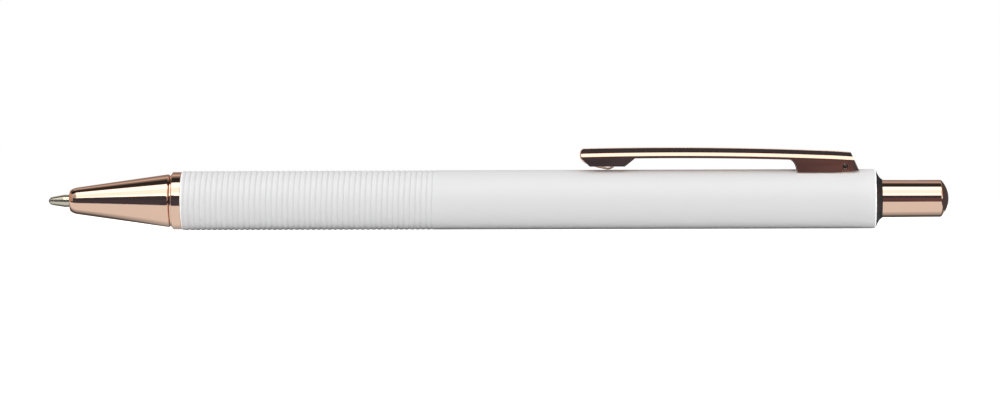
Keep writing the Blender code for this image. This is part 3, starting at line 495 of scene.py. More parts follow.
def make_holder():
    """The point's holder: a sleeve with a flange for the spring and a spigot in the refill's tube."""
    start, end = ends_of("point_holder")
    flange = radius_of("point_holder", CAD_SMALL_FACETS)
    room = 0.1 * MM
    flange_x, flange_end = end_of("return_spring") + room, start_of("refill_tube") - SMALL_GAP
    floor = end_of("refill_point") + room
    socket, sleeve, spigot = 1.02 * MM, 1.4 * MM, 1.14 * MM
    profile = outline(
        (start, socket, 0.05 * MM),
        (start, sleeve, 0.2 * MM),
        (flange_x, sleeve, 0.0),
        (flange_x, flange, 0.12 * MM),
        (flange_end, flange, 0.12 * MM),
        (flange_end, spigot, 0.0),
        (end, spigot, 0.15 * MM),
        (end, FEED_R, 0.0),
        (floor, FEED_R, 0.0),
        (floor, socket, 0.0),
    )
    return turned("holder_sleeve", profile, SMALL_SIDES)


def plain_tube(name, node, outer, inner, rounding=0.04 * MM):
    """A tube or, with no inner radius, a rod between the two ends of a CAD node."""
    start, end = ends_of(node)
    corners = [(start, inner, 0.0), (start, outer, rounding), (end, outer, rounding), (end, inner, 0.0)]
    return turned(name, outline(*corners), SMALL_SIDES)


def make_spring():
    """The return spring: a round wire carried along a helix whose ends are closed turns.

    The wire's middle is at x(t), y = R sin(2 pi t), z = axis + R cos(2 pi t), where t counts the turns and
    x rises 3% more than the wire's own thickness over the first and last turn and evenly between them.
    """
    low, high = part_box("return_spring")
    wire = SPRING_WIRE / 2
    radius = (high.y - low.y) / 2 - wire
    turns, dead, around, per_turn = 9.0, 1.0, 12, 40
    t = np.linspace(0.0, turns, int(turns * per_turn) + 1)
    length_x = high.x - low.x - SPRING_WIRE
    closed = dead * SPRING_WIRE * 1.03
    x = np.interp(t, [0.0, dead, turns - dead, turns], [0.0, closed, length_x - closed, length_x])
    a = math.tau * t
    middle = np.stack([low.x + wire + x, radius * np.sin(a), AXIS_Z + radius * np.cos(a)], 1)
    outward = np.stack([np.zeros_like(a), np.sin(a), np.cos(a)], 1)
    along = np.gradient(middle, axis=0)
    along /= np.linalg.norm(along, axis=1)[:, None]
    side = np.cross(along, outward)
    b = np.arange(around) / around * math.tau
    ring = np.cos(b)[None, :, None] * outward[:, None] + np.sin(b)[None, :, None] * side[:, None]
    points = (middle[:, None] + wire * ring).reshape(-1, 3)
    points = np.concatenate([points, middle[:1], middle[-1:]])
    faces = quads(len(t), around).tolist()
    k = np.arange(around)
    for first, tip in ((0, len(points) - 2), ((len(t) - 1) * around, len(points) - 1)):
        faces += np.stack([first + k, first + (k + 1) % around, np.full(around, tip)], 1).tolist()
    return new_piece("spring_coil", points, faces)


CLIP_START = start_of("clip")
CLIP_LENGTH = end_of("clip") - SMALL_GAP - CLIP_START

# The clip's nose: its rounding in plan and in height, and the front flange, deep up to its end
NOSE_ROUND = 0.35 * MM
NOSE_SWELL = 0.6 * MM
TIP_EDGE = 0.06 * MM
FRONT_LOW = 0.5 * MM
FRONT_END = 7.05 * MM
FRONT_RISEN = 8.65 * MM
FRONT_SLANT = (2.1 * MM, 1.03)

# The rear flange, which starts in a quarter round and rests on the barrel's side
REAR_LENGTH = 9.6 * MM
REAR_ROUND = 1.15 * MM
REAR_START = CLIP_LENGTH - REAR_LENGTH - REAR_ROUND
CONTACT_HALF_WIDTH = 2.2 * MM
SIDE_LEAST = 0.02 * MM

# The tail: where its flange drops, where it slants, and the plane that it ends on
TAIL_ROUND = 0.14 * MM
TAIL_TAPER = 1.05 * MM
TAIL_DROP = 2.75 * MM
TAIL_SLANT = 4 * MM
TAIL_SLOPE = 2.13
TAIL_LOW = -0.26 * MM
SADDLE_CLEAR = 0.25 * MM


def clip_top(sizes, s):
    """The rib's height above the barrel: the parabola through its heights at 0, 42% and 100%."""
    highest = 0.42
    t, m = s / CLIP_LENGTH, highest
    height = sizes.height_front * (t - m) * (t - 1) / m
    height += sizes.height_middle * t * (t - 1) / (m * (m - 1))
    return height + sizes.height_rear * t * (t - m) / (1 - m)


def plan_share(s):
    """Share of the full width: (1 - u ** n) ** (1 / n) over the nose and, squarer, over the tail.

    The tail narrows evenly by a tenth before its corners.
    """
    nose_power, tail_power, narrowed, least = 2.4, 4.0, 0.1, 0.002
    to_nose = 1 - np.clip(s / NOSE_ROUND, least, 1.0)
    to_tail = 1 - np.clip((CLIP_LENGTH - s) / TAIL_ROUND, least, 1.0)
    taper = 1 - narrowed * share_between(s, CLIP_LENGTH - TAIL_TAPER, CLIP_LENGTH)
    nose = (1 - to_nose**nose_power) ** (1 / nose_power)
    return nose * (1 - to_tail**tail_power) ** (1 / tail_power) * taper


def clip_corners(sizes, s, inset):
    """The cross-section's eight corners at each distance s along the clip, as (y, z above the barrel).

    From the right flange's lower edge they run up over the wing's edge, the riser's foot and the rib, and
    down the other side. The inset moves them inwards for the sheet's other face. The widths are those of
    the clip's middle.
    """
    top = clip_top(sizes, s)
    foot = top - sizes.riser_front - (sizes.riser_rear - sizes.riser_front) * s / CLIP_LENGTH
    edge = foot - sizes.wing_drop
    low = edge - sizes.side_height
    low = low + (FRONT_LOW - low) * (1 - share_between(s, FRONT_END, FRONT_RISEN))
    low = np.maximum(low, FRONT_SLANT[0] - FRONT_SLANT[1] * s)
    curve = share_between(s, REAR_START, REAR_START + REAR_ROUND)
    contact = math.sqrt(BARREL_R**2 - CONTACT_HALF_WIDTH**2) - BARREL_R + SMALL_GAP
    low = low + (contact - low) * (1 - np.sqrt(1 - curve**2))
    low = np.where(s > CLIP_LENGTH - TAIL_DROP, TAIL_LOW, low)
    swell = share_between(s, 0.0, NOSE_SWELL) ** 0.5
    tip = sizes.tip_height
    top, foot, edge = [tip + (z - tip) * swell for z in (top, foot, edge)]
    top, edge = top + TIP_EDGE, edge - TIP_EDGE
    half = np.full(len(s), sizes.half_width)
    rib = np.full(len(s), sizes.rib_half_width - inset * (1 - sizes.rib_half_width / sizes.half_width))
    top, foot, edge = top - inset, foot - inset, edge - inset
    low = np.minimum(low, edge - SIDE_LEAST)
    right = np.array([[half, low], [half, edge], [rib, foot], [rib - sizes.rib_lean, top]])
    right = right.transpose(2, 0, 1)
    return np.concatenate([right, right[:, ::-1] * (-1, 1)], 1)


def bent(corners, radius, steps=6):
    """Rounds the inner corners of every cross-section at once.

    Each corner C becomes the curve (1 - u)^2 A + 2 u (1 - u) C + u^2 B, where A and B lie on its two sides
    at the bend's radius from it, or nearer where a side is short.
    """
    before, corner, after = corners[:, :-2], corners[:, 1:-1], corners[:, 2:]
    back, ahead = before - corner, after - corner
    back_length = np.linalg.norm(back, axis=2, keepdims=True) + 1e-12
    ahead_length = np.linalg.norm(ahead, axis=2, keepdims=True) + 1e-12
    a = corner + back / back_length * np.minimum(radius, back_length * 0.45)
    b = corner + ahead / ahead_length * np.minimum(radius, ahead_length * 0.45)
    u = np.linspace(0.0, 1.0, steps)[None, None, :, None]
    curve = (1 - u) ** 2 * a[:, :, None] + 2 * u * (1 - u) * corner[:, :, None] + u**2 * b[:, :, None]
    middle = curve.reshape(len(corners), -1, 2)
    return np.concatenate([corners[:, :1], middle, corners[:, -1:]], 1)


def clip_skin(sizes, s, closed, inset, bend):
    """One face of the clip's sheet as points (stations, around, 3).

    The tail is drawn in by its height over the tail's slope, so that the flanges end on a slanting plane,
    and is kept clear of the saddle under it. Where closed rises to 1, the face turns across the clip to
    its middle and bulges a little.
    """
    section = bent(clip_corners(sizes, s, inset), bend)
    y, z = section[..., 0], section[..., 1] + BARREL_R
    slanted = share_between(s, CLIP_LENGTH - TAIL_SLANT, CLIP_LENGTH)[:, None]
    upright = s[:, None] - slanted * (z - BARREL_R - TAIL_LOW) / TAIL_SLOPE
    share = plan_share(np.maximum(upright, 0.0)) - inset / sizes.half_width
    y = y * np.maximum(share, 0.02) * (1 - closed[:, None])
    over_saddle = np.sqrt(np.maximum((BARREL_R + SADDLE_CLEAR) ** 2 - y**2, 0.0))
    z = np.maximum(z, over_saddle * (slanted > 0.3))
    bulge = closed[:, None] ** 2 * 0.1 * MM
    x = CLIP_START + s[:, None] - slanted * (z - BARREL_R - TAIL_LOW) / TAIL_SLOPE + bulge
    return np.stack([x, y, z + AXIS_Z], -1)


def clip_sheet(sizes):
    """Points and faces of the stamped strip: the outer and inner faces joined along every edge.

    The stations s along it stand closest where its edge turns or steps.
    """
    turn = np.linspace(0.0, math.pi / 2, 30)
    nose = NOSE_ROUND * (1 - np.cos(turn))
    tail = CLIP_LENGTH - TAIL_ROUND * (1 - np.sin(turn))
    curve = REAR_START + REAR_ROUND * np.sin(np.linspace(0.0, math.pi / 2, 12))
    bends = np.array([0.2 * MM, 0.4 * MM, NOSE_SWELL, 1.6 * MM, FRONT_END, FRONT_RISEN])
    drop = TAIL_DROP + np.array([0.001, -0.001]) * MM
    step = CLIP_LENGTH - np.array([TAIL_SLANT, *drop, 1.4 * MM, TAIL_TAPER, 0.7 * MM])
    span = np.linspace(2.8 * MM, REAR_START - 0.5 * MM, 30)
    s = np.unique(np.concatenate([nose, bends, span, curve, step, tail]).round(8))
    s = s[np.concatenate([[True], np.diff(s) > 1e-6])]
    closing = np.linspace(0.0, 0.98, 12)[1:]
    closed = np.concatenate([np.zeros(len(s)), closing])
    s = np.concatenate([s, np.full(len(closing), CLIP_LENGTH)])
    outer = clip_skin(sizes, s, closed, 0.0, sizes.bend)
    wall = sizes.sheet * share_between(s, CLIP_LENGTH - TAIL_ROUND, CLIP_LENGTH)
    wall -= sizes.sheet * (1 - share_between(s, 0.0, NOSE_ROUND))
    inner = clip_skin(sizes, s - wall, closed, sizes.sheet, sizes.bend * 0.6)
    ring = np.concatenate([outer, inner[:, ::-1]], 1)
    rows, columns = ring.shape[:2]
    faces = quads(rows, columns).tolist()
    k = np.arange(columns // 2 - 1)
    for base in (0, (rows - 1) * columns):
        faces += (np.stack([k, k + 1, columns - 2 - k, columns - 1 - k], 1) + base).tolist()
    return ring.reshape(-1, 3), faces


def bezier(points, count):
    """A cubic curve through four control points: the sum of their Bernstein weights times them."""
    u = np.linspace(0.0, 1.0, count)[:, None]
    p = [np.array(point)[None, :] for point in points]
    return (1 - u) ** 3 * p[0] + 3 * u * (1 - u) ** 2 * p[1] + 3 * u**2 * (1 - u) * p[2] + u**3 * p[3]


def clip_tongue(sizes):
    """Points and faces of the tongue: a flat strip carried along the curve of its lower face.

    The curve drops from the clip's nose, touches the barrel and rises again. The strip is narrower inside
    the round nose, and its lower face is crowned.
    """
    half_width, thick, inside_nose, least = 1.2 * MM, 0.33 * MM, 0.12 * MM, 0.2 * MM
    down = bezier([(0.06, 2.0), (0.5, 0.75), (2.2, 0.45), (4.3, 0.04)], 22)
    up = bezier([(4.3, 0.04), (4.8, -0.02), (5.3, 0.3), (5.7, 0.72)], 12)
    path = np.concatenate([down, up[1:]]) * MM
    s, z = path[:, 0], path[:, 1] + BARREL_R
    along = np.gradient(path, axis=0)
    along /= np.linalg.norm(along, axis=1)[:, None]
    normal = np.stack([-along[:, 1], along[:, 0]], 1)
    half = np.clip(sizes.half_width * plan_share(s) - inside_nose, least, half_width)
    ring = np.array([(-1, 0.95), (-0.99, 0.8), (-0.92, 0.3), (-0.86, 0.12), (-0.68, 0.02), (-0.3, 0.0)])
    ring = np.concatenate([ring, ring[::-1] * (-1, 1)])
    y = half[:, None] * ring[None, :, 0]
    x = CLIP_START + s[:, None] + normal[:, :1] * ring[None, :, 1] * thick
    z = AXIS_Z + z[:, None] + normal[:, 1:] * ring[None, :, 1] * thick
    points = np.stack([x, y, z], -1)
    rows, columns = points.shape[:2]
    faces = quads(rows, columns).tolist()
    faces += [list(range(columns)), list(range((rows - 1) * columns, rows * columns))]
    return points.reshape(-1, 3), faces


def across_clip(profile, name):
    """A profile (y, r) carried round the clip's pivot, which runs along Y."""
    sides = 40
    a = np.arange(sides) / sides * math.tau
    y = np.repeat(profile[:, :1], sides, 1)
    x = PIVOT.x + profile[:, 1:] * np.cos(a)
    z = PIVOT.z + profile[:, 1:] * np.sin(a)
    points = np.stack([x, y, z], -1).reshape(-1, 3)
    return new_piece(name, points, quads(len(profile), sides, closed_rows=True), 40)


def make_clip(sizes):
    """The clip: the stamped strip and its tongue in one piece, with a hole for the pin."""
    clip = new_piece("clip_strip", *clip_sheet(sizes), 35)
    tongue = new_piece("tongue", *clip_tongue(sizes))
    reach, hole = 3.5 * MM, 0.4 * MM
    cutter = across_clip(np.array([[-reach, 0.0], [-reach, hole], [reach, hole], [reach, 0.0]]), "hole")
    drill = clip.modifiers.new("pin hole", "BOOLEAN")
    drill.object = cutter
    drill.solver = "EXACT"
    graph = bpy.context.evaluated_depsgraph_get()
    drilled = bpy.data.meshes.new_from_object(clip.evaluated_get(graph))
    clip.modifiers.clear()
    clip.data = drilled
    bm = bmesh.new()
    bm.from_mesh(drilled)
    bm.from_mesh(tongue.data)
    bm.to_mesh(drilled)
    bm.free()
    bpy.data.objects.remove(cutter)
    bpy.data.objects.remove(tongue)
    drilled.set_sharp_from_angle(angle=math.radians(35))
    return clip


def make_pin():
    """The pivot pin: a rod with sunk, chamfered ends and a small dome in the middle of each."""
    low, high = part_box("clip_pin")
    radius, half = (high.z - low.z) / 2, high.y
    a = np.linspace(0.0, math.pi / 2, 7)
    sunk, dome_r, chamfer = 0.09 * MM, 0.14 * MM, 0.07 * MM
    dome = np.stack([half - sunk * (1 - np.cos(a)), dome_r * np.sin(a)], 1)
    end = np.concatenate([dome, [(half - sunk, radius - chamfer), (half - 2 * chamfer, radius)]])
    return across_clip(np.concatenate([end, end[::-1] * (-1, 1)]), "pivot_pin")


def fill(node, inputs):
    """Sets each input of a node to its value, or links it where the value is another node's output."""
    for socket, value in inputs:
        if isinstance(value, bpy.types.NodeSocket):
            node.id_data.links.new(value, node.inputs[socket])
        else:
            node.inputs[socket].default_value = value


def add(tree, kind, inputs=(), output=0, **settings):
    """Adds a node with its settings and inputs, and gives back one of its outputs."""
    made = tree.nodes.new("ShaderNode" + kind)
    for name, value in settings.items():
        setattr(made, name, value)
    fill(made, inputs)
    return made.outputs[output]


def shader(name, colour, **sockets):
    """A material whose Principled shader has these constant sockets, and its tree and shader node."""
    made = bpy.data.materials.new(name)
    made.use_nodes = True
    principled = made.node_tree.nodes["Principled BSDF"]
    fill(principled, [("Base Color", (*colour, 1.0))])
    fill(principled, [(socket.replace("_", " "), value) for socket, value in sockets.items()])
    return made, made.node_tree, principled


def place(tree, size, centre=(0.0, 0.0, 0.0)):
    """Object coordinates from a centre, in units of the size along each axis. A size of 0 leaves one out."""
    source = add(tree, "TexCoord", output="Object")
    scale = [1 / s if s else 0.0 for s in size]
    where = [-c * k for c, k in zip(centre, scale)]
    return add(tree, "Mapping", [("Vector", source), ("Scale", scale), ("Location", where)])


def grain(tree, size, detail=3.0):
    """Noise whose lumps have the given size in millimetres along each axis."""
    where = place(tree, [s * MM for s in size])
    return add(tree, "TexNoise", [("Vector", where), ("Scale", 1.0), ("Detail", detail), ("Roughness", 0.5)])


def shade(colour, factor):
    return tuple(min(1.0, c * factor) for c in colour)


def marked(name, shades, marks, gloss, relief=0.0, detail=3.0, follow=None, **sockets):
    """A material whose fine marks vary its gloss, its relief and its shade.

    The marks' size along each axis and the relief are in millimetres. The roughness runs over the two
    values of gloss with the marks. Where there are two shades, the colour runs over them with the marks,
    or with what follow gives.
    """
    made, tree, principled = shader(name, shades[-1], **sockets)
    pattern = grain(tree, marks, detail)
    rough = add(tree, "MapRange", [("Value", pattern), ("To Min", gloss[0]), ("To Max", gloss[1])])
    fill(principled, [("Roughness", rough)])
    if len(shades) == 2:
        mix = [("Factor", follow(tree) if follow else pattern)]
        mix += [(socket, (*colour, 1.0)) for socket, colour in zip((6, 7), shades)]
        fill(principled, [("Base Color", add(tree, "Mix", mix, 2, data_type="RGBA"))])
    if relief:
        fill(principled, [("Normal", add(tree, "Bump", [("Height", pattern), ("Distance", relief * MM)]))])
    return made


def cloud(size, detail=3.0):
    """Even lumps for a shade to follow, apart from the marks."""
    return lambda tree: grain(tree, (size,) * 3, detail)


def down_to(share, colour):
    """Two shades: the colour darkened to a share of its level, and the colour."""
    return shade(colour, share), colour


def shades_of(dark, light):
    """Two shades from their sRGB hex colours."""
    return linear(dark), linear(light)


def satin_lacquer(colours):
    """Sprayed satin lacquer on a metal tube: soft broad gloss over a faint orange peel.

    The grip's groove is painted a shade darker, a painted shade in the recess: its shade follows the
    distance from the pen's axis.
    """

    def groove_shade(tree):
        across = place(tree, (0.0, 1.0, 1.0), (0.0, 0.0, AXIS_Z))
        radius = add(tree, "VectorMath", [(0, across)], "Value", operation="LENGTH")
        # Painted shade: the lacquer's colour darkens towards the bottom of the grip's groove
        in_groove, full = BARREL_R - 0.11 * MM, BARREL_R - 0.07 * MM
        return add(tree, "MapRange", [("Value", radius), ("From Min", in_groove), ("From Max", full)])

    shades = down_to(0.94, colours.lacquer)
    return marked(
        "sprayed_satin_lacquer", shades, (0.5,) * 3, (0.42, 0.5), 0.004, follow=groove_shade, IOR=1.5
    )


def plated(name, colours, marks, satin=0.03):
    """Rose-gold plating, a little uneven in shade, over a metal that carries the marks."""
    shades = down_to(0.96, colours.rose_gold)
    return marked(name, shades, marks, (satin, satin + 0.05), 0.0002, follow=cloud(2.5), Metallic=1.0)


def turned_rose_gold(colours):
    """Rose-gold plating over a polished turned blank: mirror bright, with faint rings from the lathe.

    The rings are about 0.08 mm apart, coarser than a real finishing cut so that they show.
    """
    return plated("turned_rose_gold_plate", colours, (0.08, 0.0, 0.0))


def stamped_rose_gold(colours):
    """Rose-gold plating over a stamped and barrel-polished strip: faint streaks along the strip."""
    return plated("stamped_rose_gold_plate", colours, (6, 0.12, 0.12))


def tumbled_rose_gold(colours):
    """Rose-gold plating over a tumbled stamping: satin, with small soft dents."""
    return plated("tumbled_rose_gold_plate", colours, (0.25,) * 3, 0.75)


def moulded_black(colours):
    """Moulded black acetal: a dull sheen with a fine spark-eroded grain."""
    shades = down_to(0.85, colours.collar)
    follow = cloud(1.5, 2.0)
    return marked("moulded_black_acetal", shades, (0.12,) * 3, (0.35, 0.55), 0.004, 2.0, follow, IOR=1.4)


def moulded_white():
    """Moulded natural acetal: milky, waxy sheen with faint flow marks."""
    milky = {"IOR": 1.48, "Subsurface_Weight": 0.15, "Subsurface_Radius": (0.6 * MM, 0.5 * MM, 0.45 * MM)}
    shades = shades_of("#DEDCD2", "#EAE8E1")
    return marked("moulded_natural_acetal", shades, (3, 0.8, 0.8), (0.32, 0.48), 0.003, **milky)


def turned_nickel_silver(colours):
    """Nickel silver turned on an automatic lathe: bright with tool rings 0.06 mm apart."""
    shades = down_to(0.9, colours.nickel_silver)
    rings = (0.06, 0.0, 0.0)
    return marked("turned_nickel_silver", shades, rings, (0.14, 0.26), 0.0008, 2.0, Metallic=1.0)


def ground_carbide(colours):
    """Ground tungsten carbide: dark steel grey with a fine crystalline sparkle."""
    shades = down_to(0.6, colours.carbide)
    return marked("ground_tungsten_carbide", shades, (0.05,) * 3, (0.18, 0.4), 0.0015, Metallic=1.0)


def turned_brass():
    """Free-cutting brass as turned: warm, with visible tool rings 0.1 mm apart."""
    shades, rings = shades_of("#C9A968", "#E2C88D"), (0.1, 0.0, 0.0)
    return marked("turned_brass", shades, rings, (0.2, 0.36), 0.0012, 2.0, cloud(1.5), Metallic=1.0)


def drawn_steel():
    """Drawn spring wire and strip: grey, with die streaks along its length."""
    shades, streaks = shades_of("#A5A7AB", "#C9CACD"), (0.9, 0.05, 0.05)
    return marked("drawn_spring_steel", shades, streaks, (0.2, 0.38), 0.0008, Metallic=1.0)


def blackened_steel():
    """Oil-blackened steel pin: nearly black, with a smooth wet gloss and a few worn grey specks."""
    shades = shades_of("#464344", "#6E6A6A")
    return marked("blackened_steel", shades, (0.12,) * 3, (0.08, 0.2), 0.0005, Metallic=1.0)


def clear_tube():
    """Extruded polypropylene tube: hazy and clear, with lines along the extrusion."""
    shades, lines = [linear("#F2F4F4")], (8, 0.2, 0.2)
    clear = {"IOR": 1.49, "Transmission_Weight": 0.9}
    return marked("extruded_clear_polypropylene", shades, lines, (0.12, 0.25), 0.002, **clear)


def ink_paste(colours):
    """Ballpoint paste: nearly black blue, wet and glossy, in slightly uneven streaks."""
    return marked("ballpoint_ink_paste", down_to(0.5, colours.ink), (4, 0.6, 0.6), (0.1, 0.25), IOR=1.5)


def follower_grease():
    """Clear follower grease: amber gel with a soft wet look."""
    shades = shades_of("#C8BC88", "#E2DAB4")
    clear = {"IOR": 1.47, "Transmission_Weight": 0.5}
    return marked("clear_follower_grease", shades, (0.9,) * 3, (0.15, 0.3), **clear)


class PenOperator:
    """What every operator of the pen shares."""

    bl_options = {"REGISTER", "UNDO"}


class PEN_OT_barrel(PenOperator, bpy.types.Operator):
    """Make the lacquered barrel with its ribbed grip"""

    bl_idname = "pen.make_barrel"
    bl_label = "Barrel"

    def execute(self, context):
        barrel = make_barrel(context.scene.pen_barrel)
        fit(barrel, "barrel", "white_lacquer", satin_lacquer(context.scene.pen_colours), "barrel")
        return {"FINISHED"}


class PEN_OT_trim(PenOperator, bpy.types.Operator):
    """Make the plated nose cone, ring and button, and the black collar"""

    bl_idname = "pen.make_trim"
    bl_label = "Trim"

    def execute(self, context):
        sizes, colours = context.scene.pen_trim, context.scene.pen_colours
        plate = turned_rose_gold(colours)
        fit(make_nose(sizes), "nose", "rose_gold_plate", plate, "nose_cone")
        fit(make_ring(sizes), "barrel", "rose_gold_plate", plate, "trim_ring")
        fit(make_button(sizes), "button", "rose_gold_plate", plate, "push_button")
        fit(make_collar(), "barrel", "black_acetal", moulded_black(colours), "end_cone")
        return {"FINISHED"}


class PEN_OT_clip(PenOperator, bpy.types.Operator):
    """Make the stamped clip with its tongue and its pivot pin"""

    bl_idname = "pen.make_clip"
    bl_label = "Clip"

    def execute(self, context):
        colours = context.scene.pen_colours
        plate = stamped_rose_gold(colours)
        fit(make_clip(context.scene.pen_clip), "clip", "rose_gold_plate", plate, "clip")
        fit(make_pin(), "clip", "spring_steel", blackened_steel(), "clip_pin")
        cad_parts["clip_bracket"].material_slots[0].material = tumbled_rose_gold(colours)
        return {"FINISHED"}


class PEN_OT_refill(PenOperator, bpy.types.Operator):
    """Make the refill with its ball, point, holder, tube, ink and grease"""

    bl_idname = "pen.make_refill"
    bl_label = "Refill"

    def execute(self, context):
        colours = context.scene.pen_colours
        fit(make_ball(), "refill", "tungsten_carbide", ground_carbide(colours), "writing_ball")
        fit(make_point(), "refill", "nickel_silver", turned_nickel_silver(colours), "refill_point")
        fit(make_holder(), "refill", "white_acetal", moulded_white(), "point_holder")
        tube_r, bore, ink_r = 1.5 * MM, 1.2 * MM, 1.15 * MM
        tube = plain_tube("refill_sleeve", "refill_tube", tube_r, bore)
        fit(tube, "refill", "clear_polypropylene", clear_tube(), "refill_tube")
        ink = plain_tube("ink_charge", "ink_column", ink_r, 0.0)
        fit(ink, "refill", "blue_ink", ink_paste(colours), "ink_column")
        grease = plain_tube("grease_plug", "ink_follower", ink_r, 0.0)
        fit(grease, "refill", "follower_grease", follower_grease(), "ink_follower")
        return {"FINISHED"}


class PEN_OT_works(PenOperator, bpy.types.Operator):
    """Make the spring and bush, and finish the click mechanism inside the barrel"""

    bl_idname = "pen.make_works"
    bl_label = "Works"

    def execute(self, context):
        colours = context.scene.pen_colours
        steel, white = drawn_steel(), moulded_white()
        spring = make_spring()
        spring.data.materials.append(steel)
        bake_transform(spring)
        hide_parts("return_spring")
        bush = plain_tube("threaded_bush", "front_bush", BUSH_R, SPIGOT_HOLE_R, 0.1 * MM)
        fit(bush, "barrel", "brass", turned_brass(), "front_bush")
        kept = {"cam_sleeve": white, "cam_rotor": white, "clip_spring": steel}
        kept["button_plunger"] = moulded_black(colours)
        for node, material in kept.items():
            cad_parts[node].material_slots[0].material = material
        return {"FINISHED"}


VIEW_WIDTH = 155.56 * MM
CAMERA_DISTANCE = 0.7
CAMERA_X = 23.0 * MM
CAMERA_DROP = 0.047 * MM
AIM_X = 0.43 * MM
PHOTO_TILT = math.radians(0.162)
SENSOR = 36.0
FLOOR_REACH = 3.0
FLOOR_Z = -0.03 * MM
FLOOR_STRETCH = (2.5, 1.0, 0.0)
FLOOR_FADE = (0.04, 0.25)
FLOOR_LIFT = 0.44
CARD_Z = 0.02 * MM

# The lamps: how bright each one is, and where it stands
WORLD_LEVEL = 0.64
SOFTBOX_LEVEL = 0.57
SOFTBOX_ANGLE = math.radians(50)
SOFTBOX_SPREAD = math.radians(50)
SOFTBOX_DISTANCE = 0.6
SOFTBOX_WIDTH = 1.6
END_LEVEL = 280.0
END_SIZE = 0.06
END_PLACE = (0.6, -0.02, 0.036)

# The arch that the metal mirrors: its size, and its level or colour by the angle from the camera's side
ARCH_RADIUS = 0.4
ARCH_REACH = 1.5
ARCH_MIDDLE = -0.08
ARCH_HALF_LENGTH = 0.37
ARCH_FADE = 0.03
ARCH_TOP = 2.1
ARCH_END = (0.6, 0.42, 0.33)
ARCH_POINT = (0.3, 0.3, 0.3)
ARCH_POINT_X = (-0.24, -0.27)
ARCH_STOPS = (
    (20, 2.1),
    (29, 2.1),
    (34, 1.45),
    (52, 1.45),
    (58, 2.0),
    (75, 2.0),
    (79, 0.03),
    (103, 0.03),
    (107, (0.23, 0.2, 0.19)),
    (114, (0.25, 0.22, 0.21)),
    (118, (0.7, 0.57, 0.5)),
    (126, (0.68, 0.55, 0.48)),
    (132, (0.33, 0.27, 0.25)),
    (165, (0.27, 0.22, 0.21)),
)

# The dark cards in front of the pen: their places, the brim's angle along them, and their colours
FLAG_X = (-0.45, 0.29)
FLAG_Y = -0.34
FLAG_SKIRT = 0.03
FLAG_EDGE = (-10.2 * MM, -15.8 * MM)
FLAG_BRIM = ((-0.45, 32.0), (-0.09, 20.6), (0.29, 17.5))
FLAG_COLOUR = (0.048, 0.05, 0.066)
DARK_STOPS = (
    (0.03, (0.062, 0.06, 0.08)),
    (0.07, (0.13, 0.078, 0.084)),
    (0.14, (0.13, 0.078, 0.084)),
    (0.18, (0.07, 0.07, 0.085)),
)
DARK_MOTTLE = (0.3, 1.7)

# The card on the floor by the pen, with its level across the pen, and the cards off the pen's ends
SHEEN_X = (-0.2, 0.075)
# Painted floor light seen only in reflections, with a painted shadow of the pen where the level drops just
# behind it
SHEEN_STOPS = (
    (-14.3 * MM, 0.82),
    (-2.2 * MM, 0.8),
    (-1.5 * MM, 0.58),
    (-0.9 * MM, 0.44),
    (-0.3 * MM, 0.38),
    (0.2 * MM, 0.12),
    (4.0 * MM, 0.06),
    (5.0 * MM, 0.3),
)
DUSK_COLOUR = (0.08, 0.07, 0.075)
DUSK_FLOOR = ((0.075, 0.5), (-0.33, 0.3))
DUSK_FLAG = ((0.5, 0.0), (0.09, 0.4), 0.5)
WARM_COLOUR = (0.5, 0.34, 0.28)
WARM_FLAG = ((-0.5, -0.35), (-0.2, 0.4), 0.2)


def lying(x, y, z=CARD_Z):
    """Corners of a level card between two distances along the pen and two across it."""
    return [(x[0], y[0], z), (x[1], y[0], z), (x[1], y[1], z), (x[0], y[1], z)]


def standing(foot, other, height):
    """Corners of an upright card over the line between two places on the floor."""
    return [(*foot, 0.0), (*other, 0.0), (*other, height), (*foot, height)]


def card(name, corners, material, only_mirrored=True, faces=((0, 1, 2, 3),)):
    """A stage card, flat through four corners if no faces are given. Most are seen in reflections only."""
    mesh = bpy.data.meshes.new(name)
    mesh.from_pydata(np.array(corners), [], faces)
    mesh.materials.append(material)
    made = put(name, mesh)
    if only_mirrored:
        made.visible_camera = made.visible_diffuse = made.visible_shadow = False
        made.visible_transmission = False


def arch(material):
    """A half pipe round the pen that only reflections see, from the front of the floor over to its back."""
    angles = np.radians(np.linspace(ARCH_STOPS[0][0], ARCH_STOPS[-1][0], 80))
    y, z = -ARCH_RADIUS * np.cos(angles), AXIS_Z + ARCH_RADIUS * np.sin(angles)
    ends = [np.stack([np.full(len(y), x), y, z], 1) for x in (-ARCH_REACH, ARCH_REACH)]
    k = np.arange(len(y) - 1)
    faces = np.stack([k, k + 1, k + 1 + len(y), k + len(y)], 1)
    card("studio_arch", np.concatenate(ends), material, faces=faces)


def lamp(name, where, aim, size, level):
    """A soft panel at a place, turned to what it is aimed at. Reflections show a card in its place.

    A panel of area A that sends the level L evenly needs the power pi A L.
    """
    data = bpy.data.lights.new(name, "AREA")
    data.shape = "RECTANGLE"
    data.size, data.size_y = size
    data.energy = math.pi * size[0] * size[1] * level
    made = put(name, data)
    made.location = where
    made.rotation_euler = (Vector(where) - Vector(aim)).to_track_quat("Z", "Y").to_euler()
    made.visible_glossy = False


def lamps():
    """A softbox above the pen on the camera's side, and a small panel low off each end for its edges."""
    away = (0.0, -math.cos(SOFTBOX_ANGLE), math.sin(SOFTBOX_ANGLE))
    axis = Vector((0.0, 0.0, AXIS_Z))
    height = 2 * SOFTBOX_DISTANCE * math.tan(SOFTBOX_SPREAD / 2)
    lamp("softbox", axis + SOFTBOX_DISTANCE * Vector(away), axis, (SOFTBOX_WIDTH, height), SOFTBOX_LEVEL)
    for side in (-1, 1):
        where = (side * END_PLACE[0], *END_PLACE[1:])
        lamp("end_light", where, (0.0, 0.0, 0.0), (END_SIZE, END_SIZE), END_LEVEL)


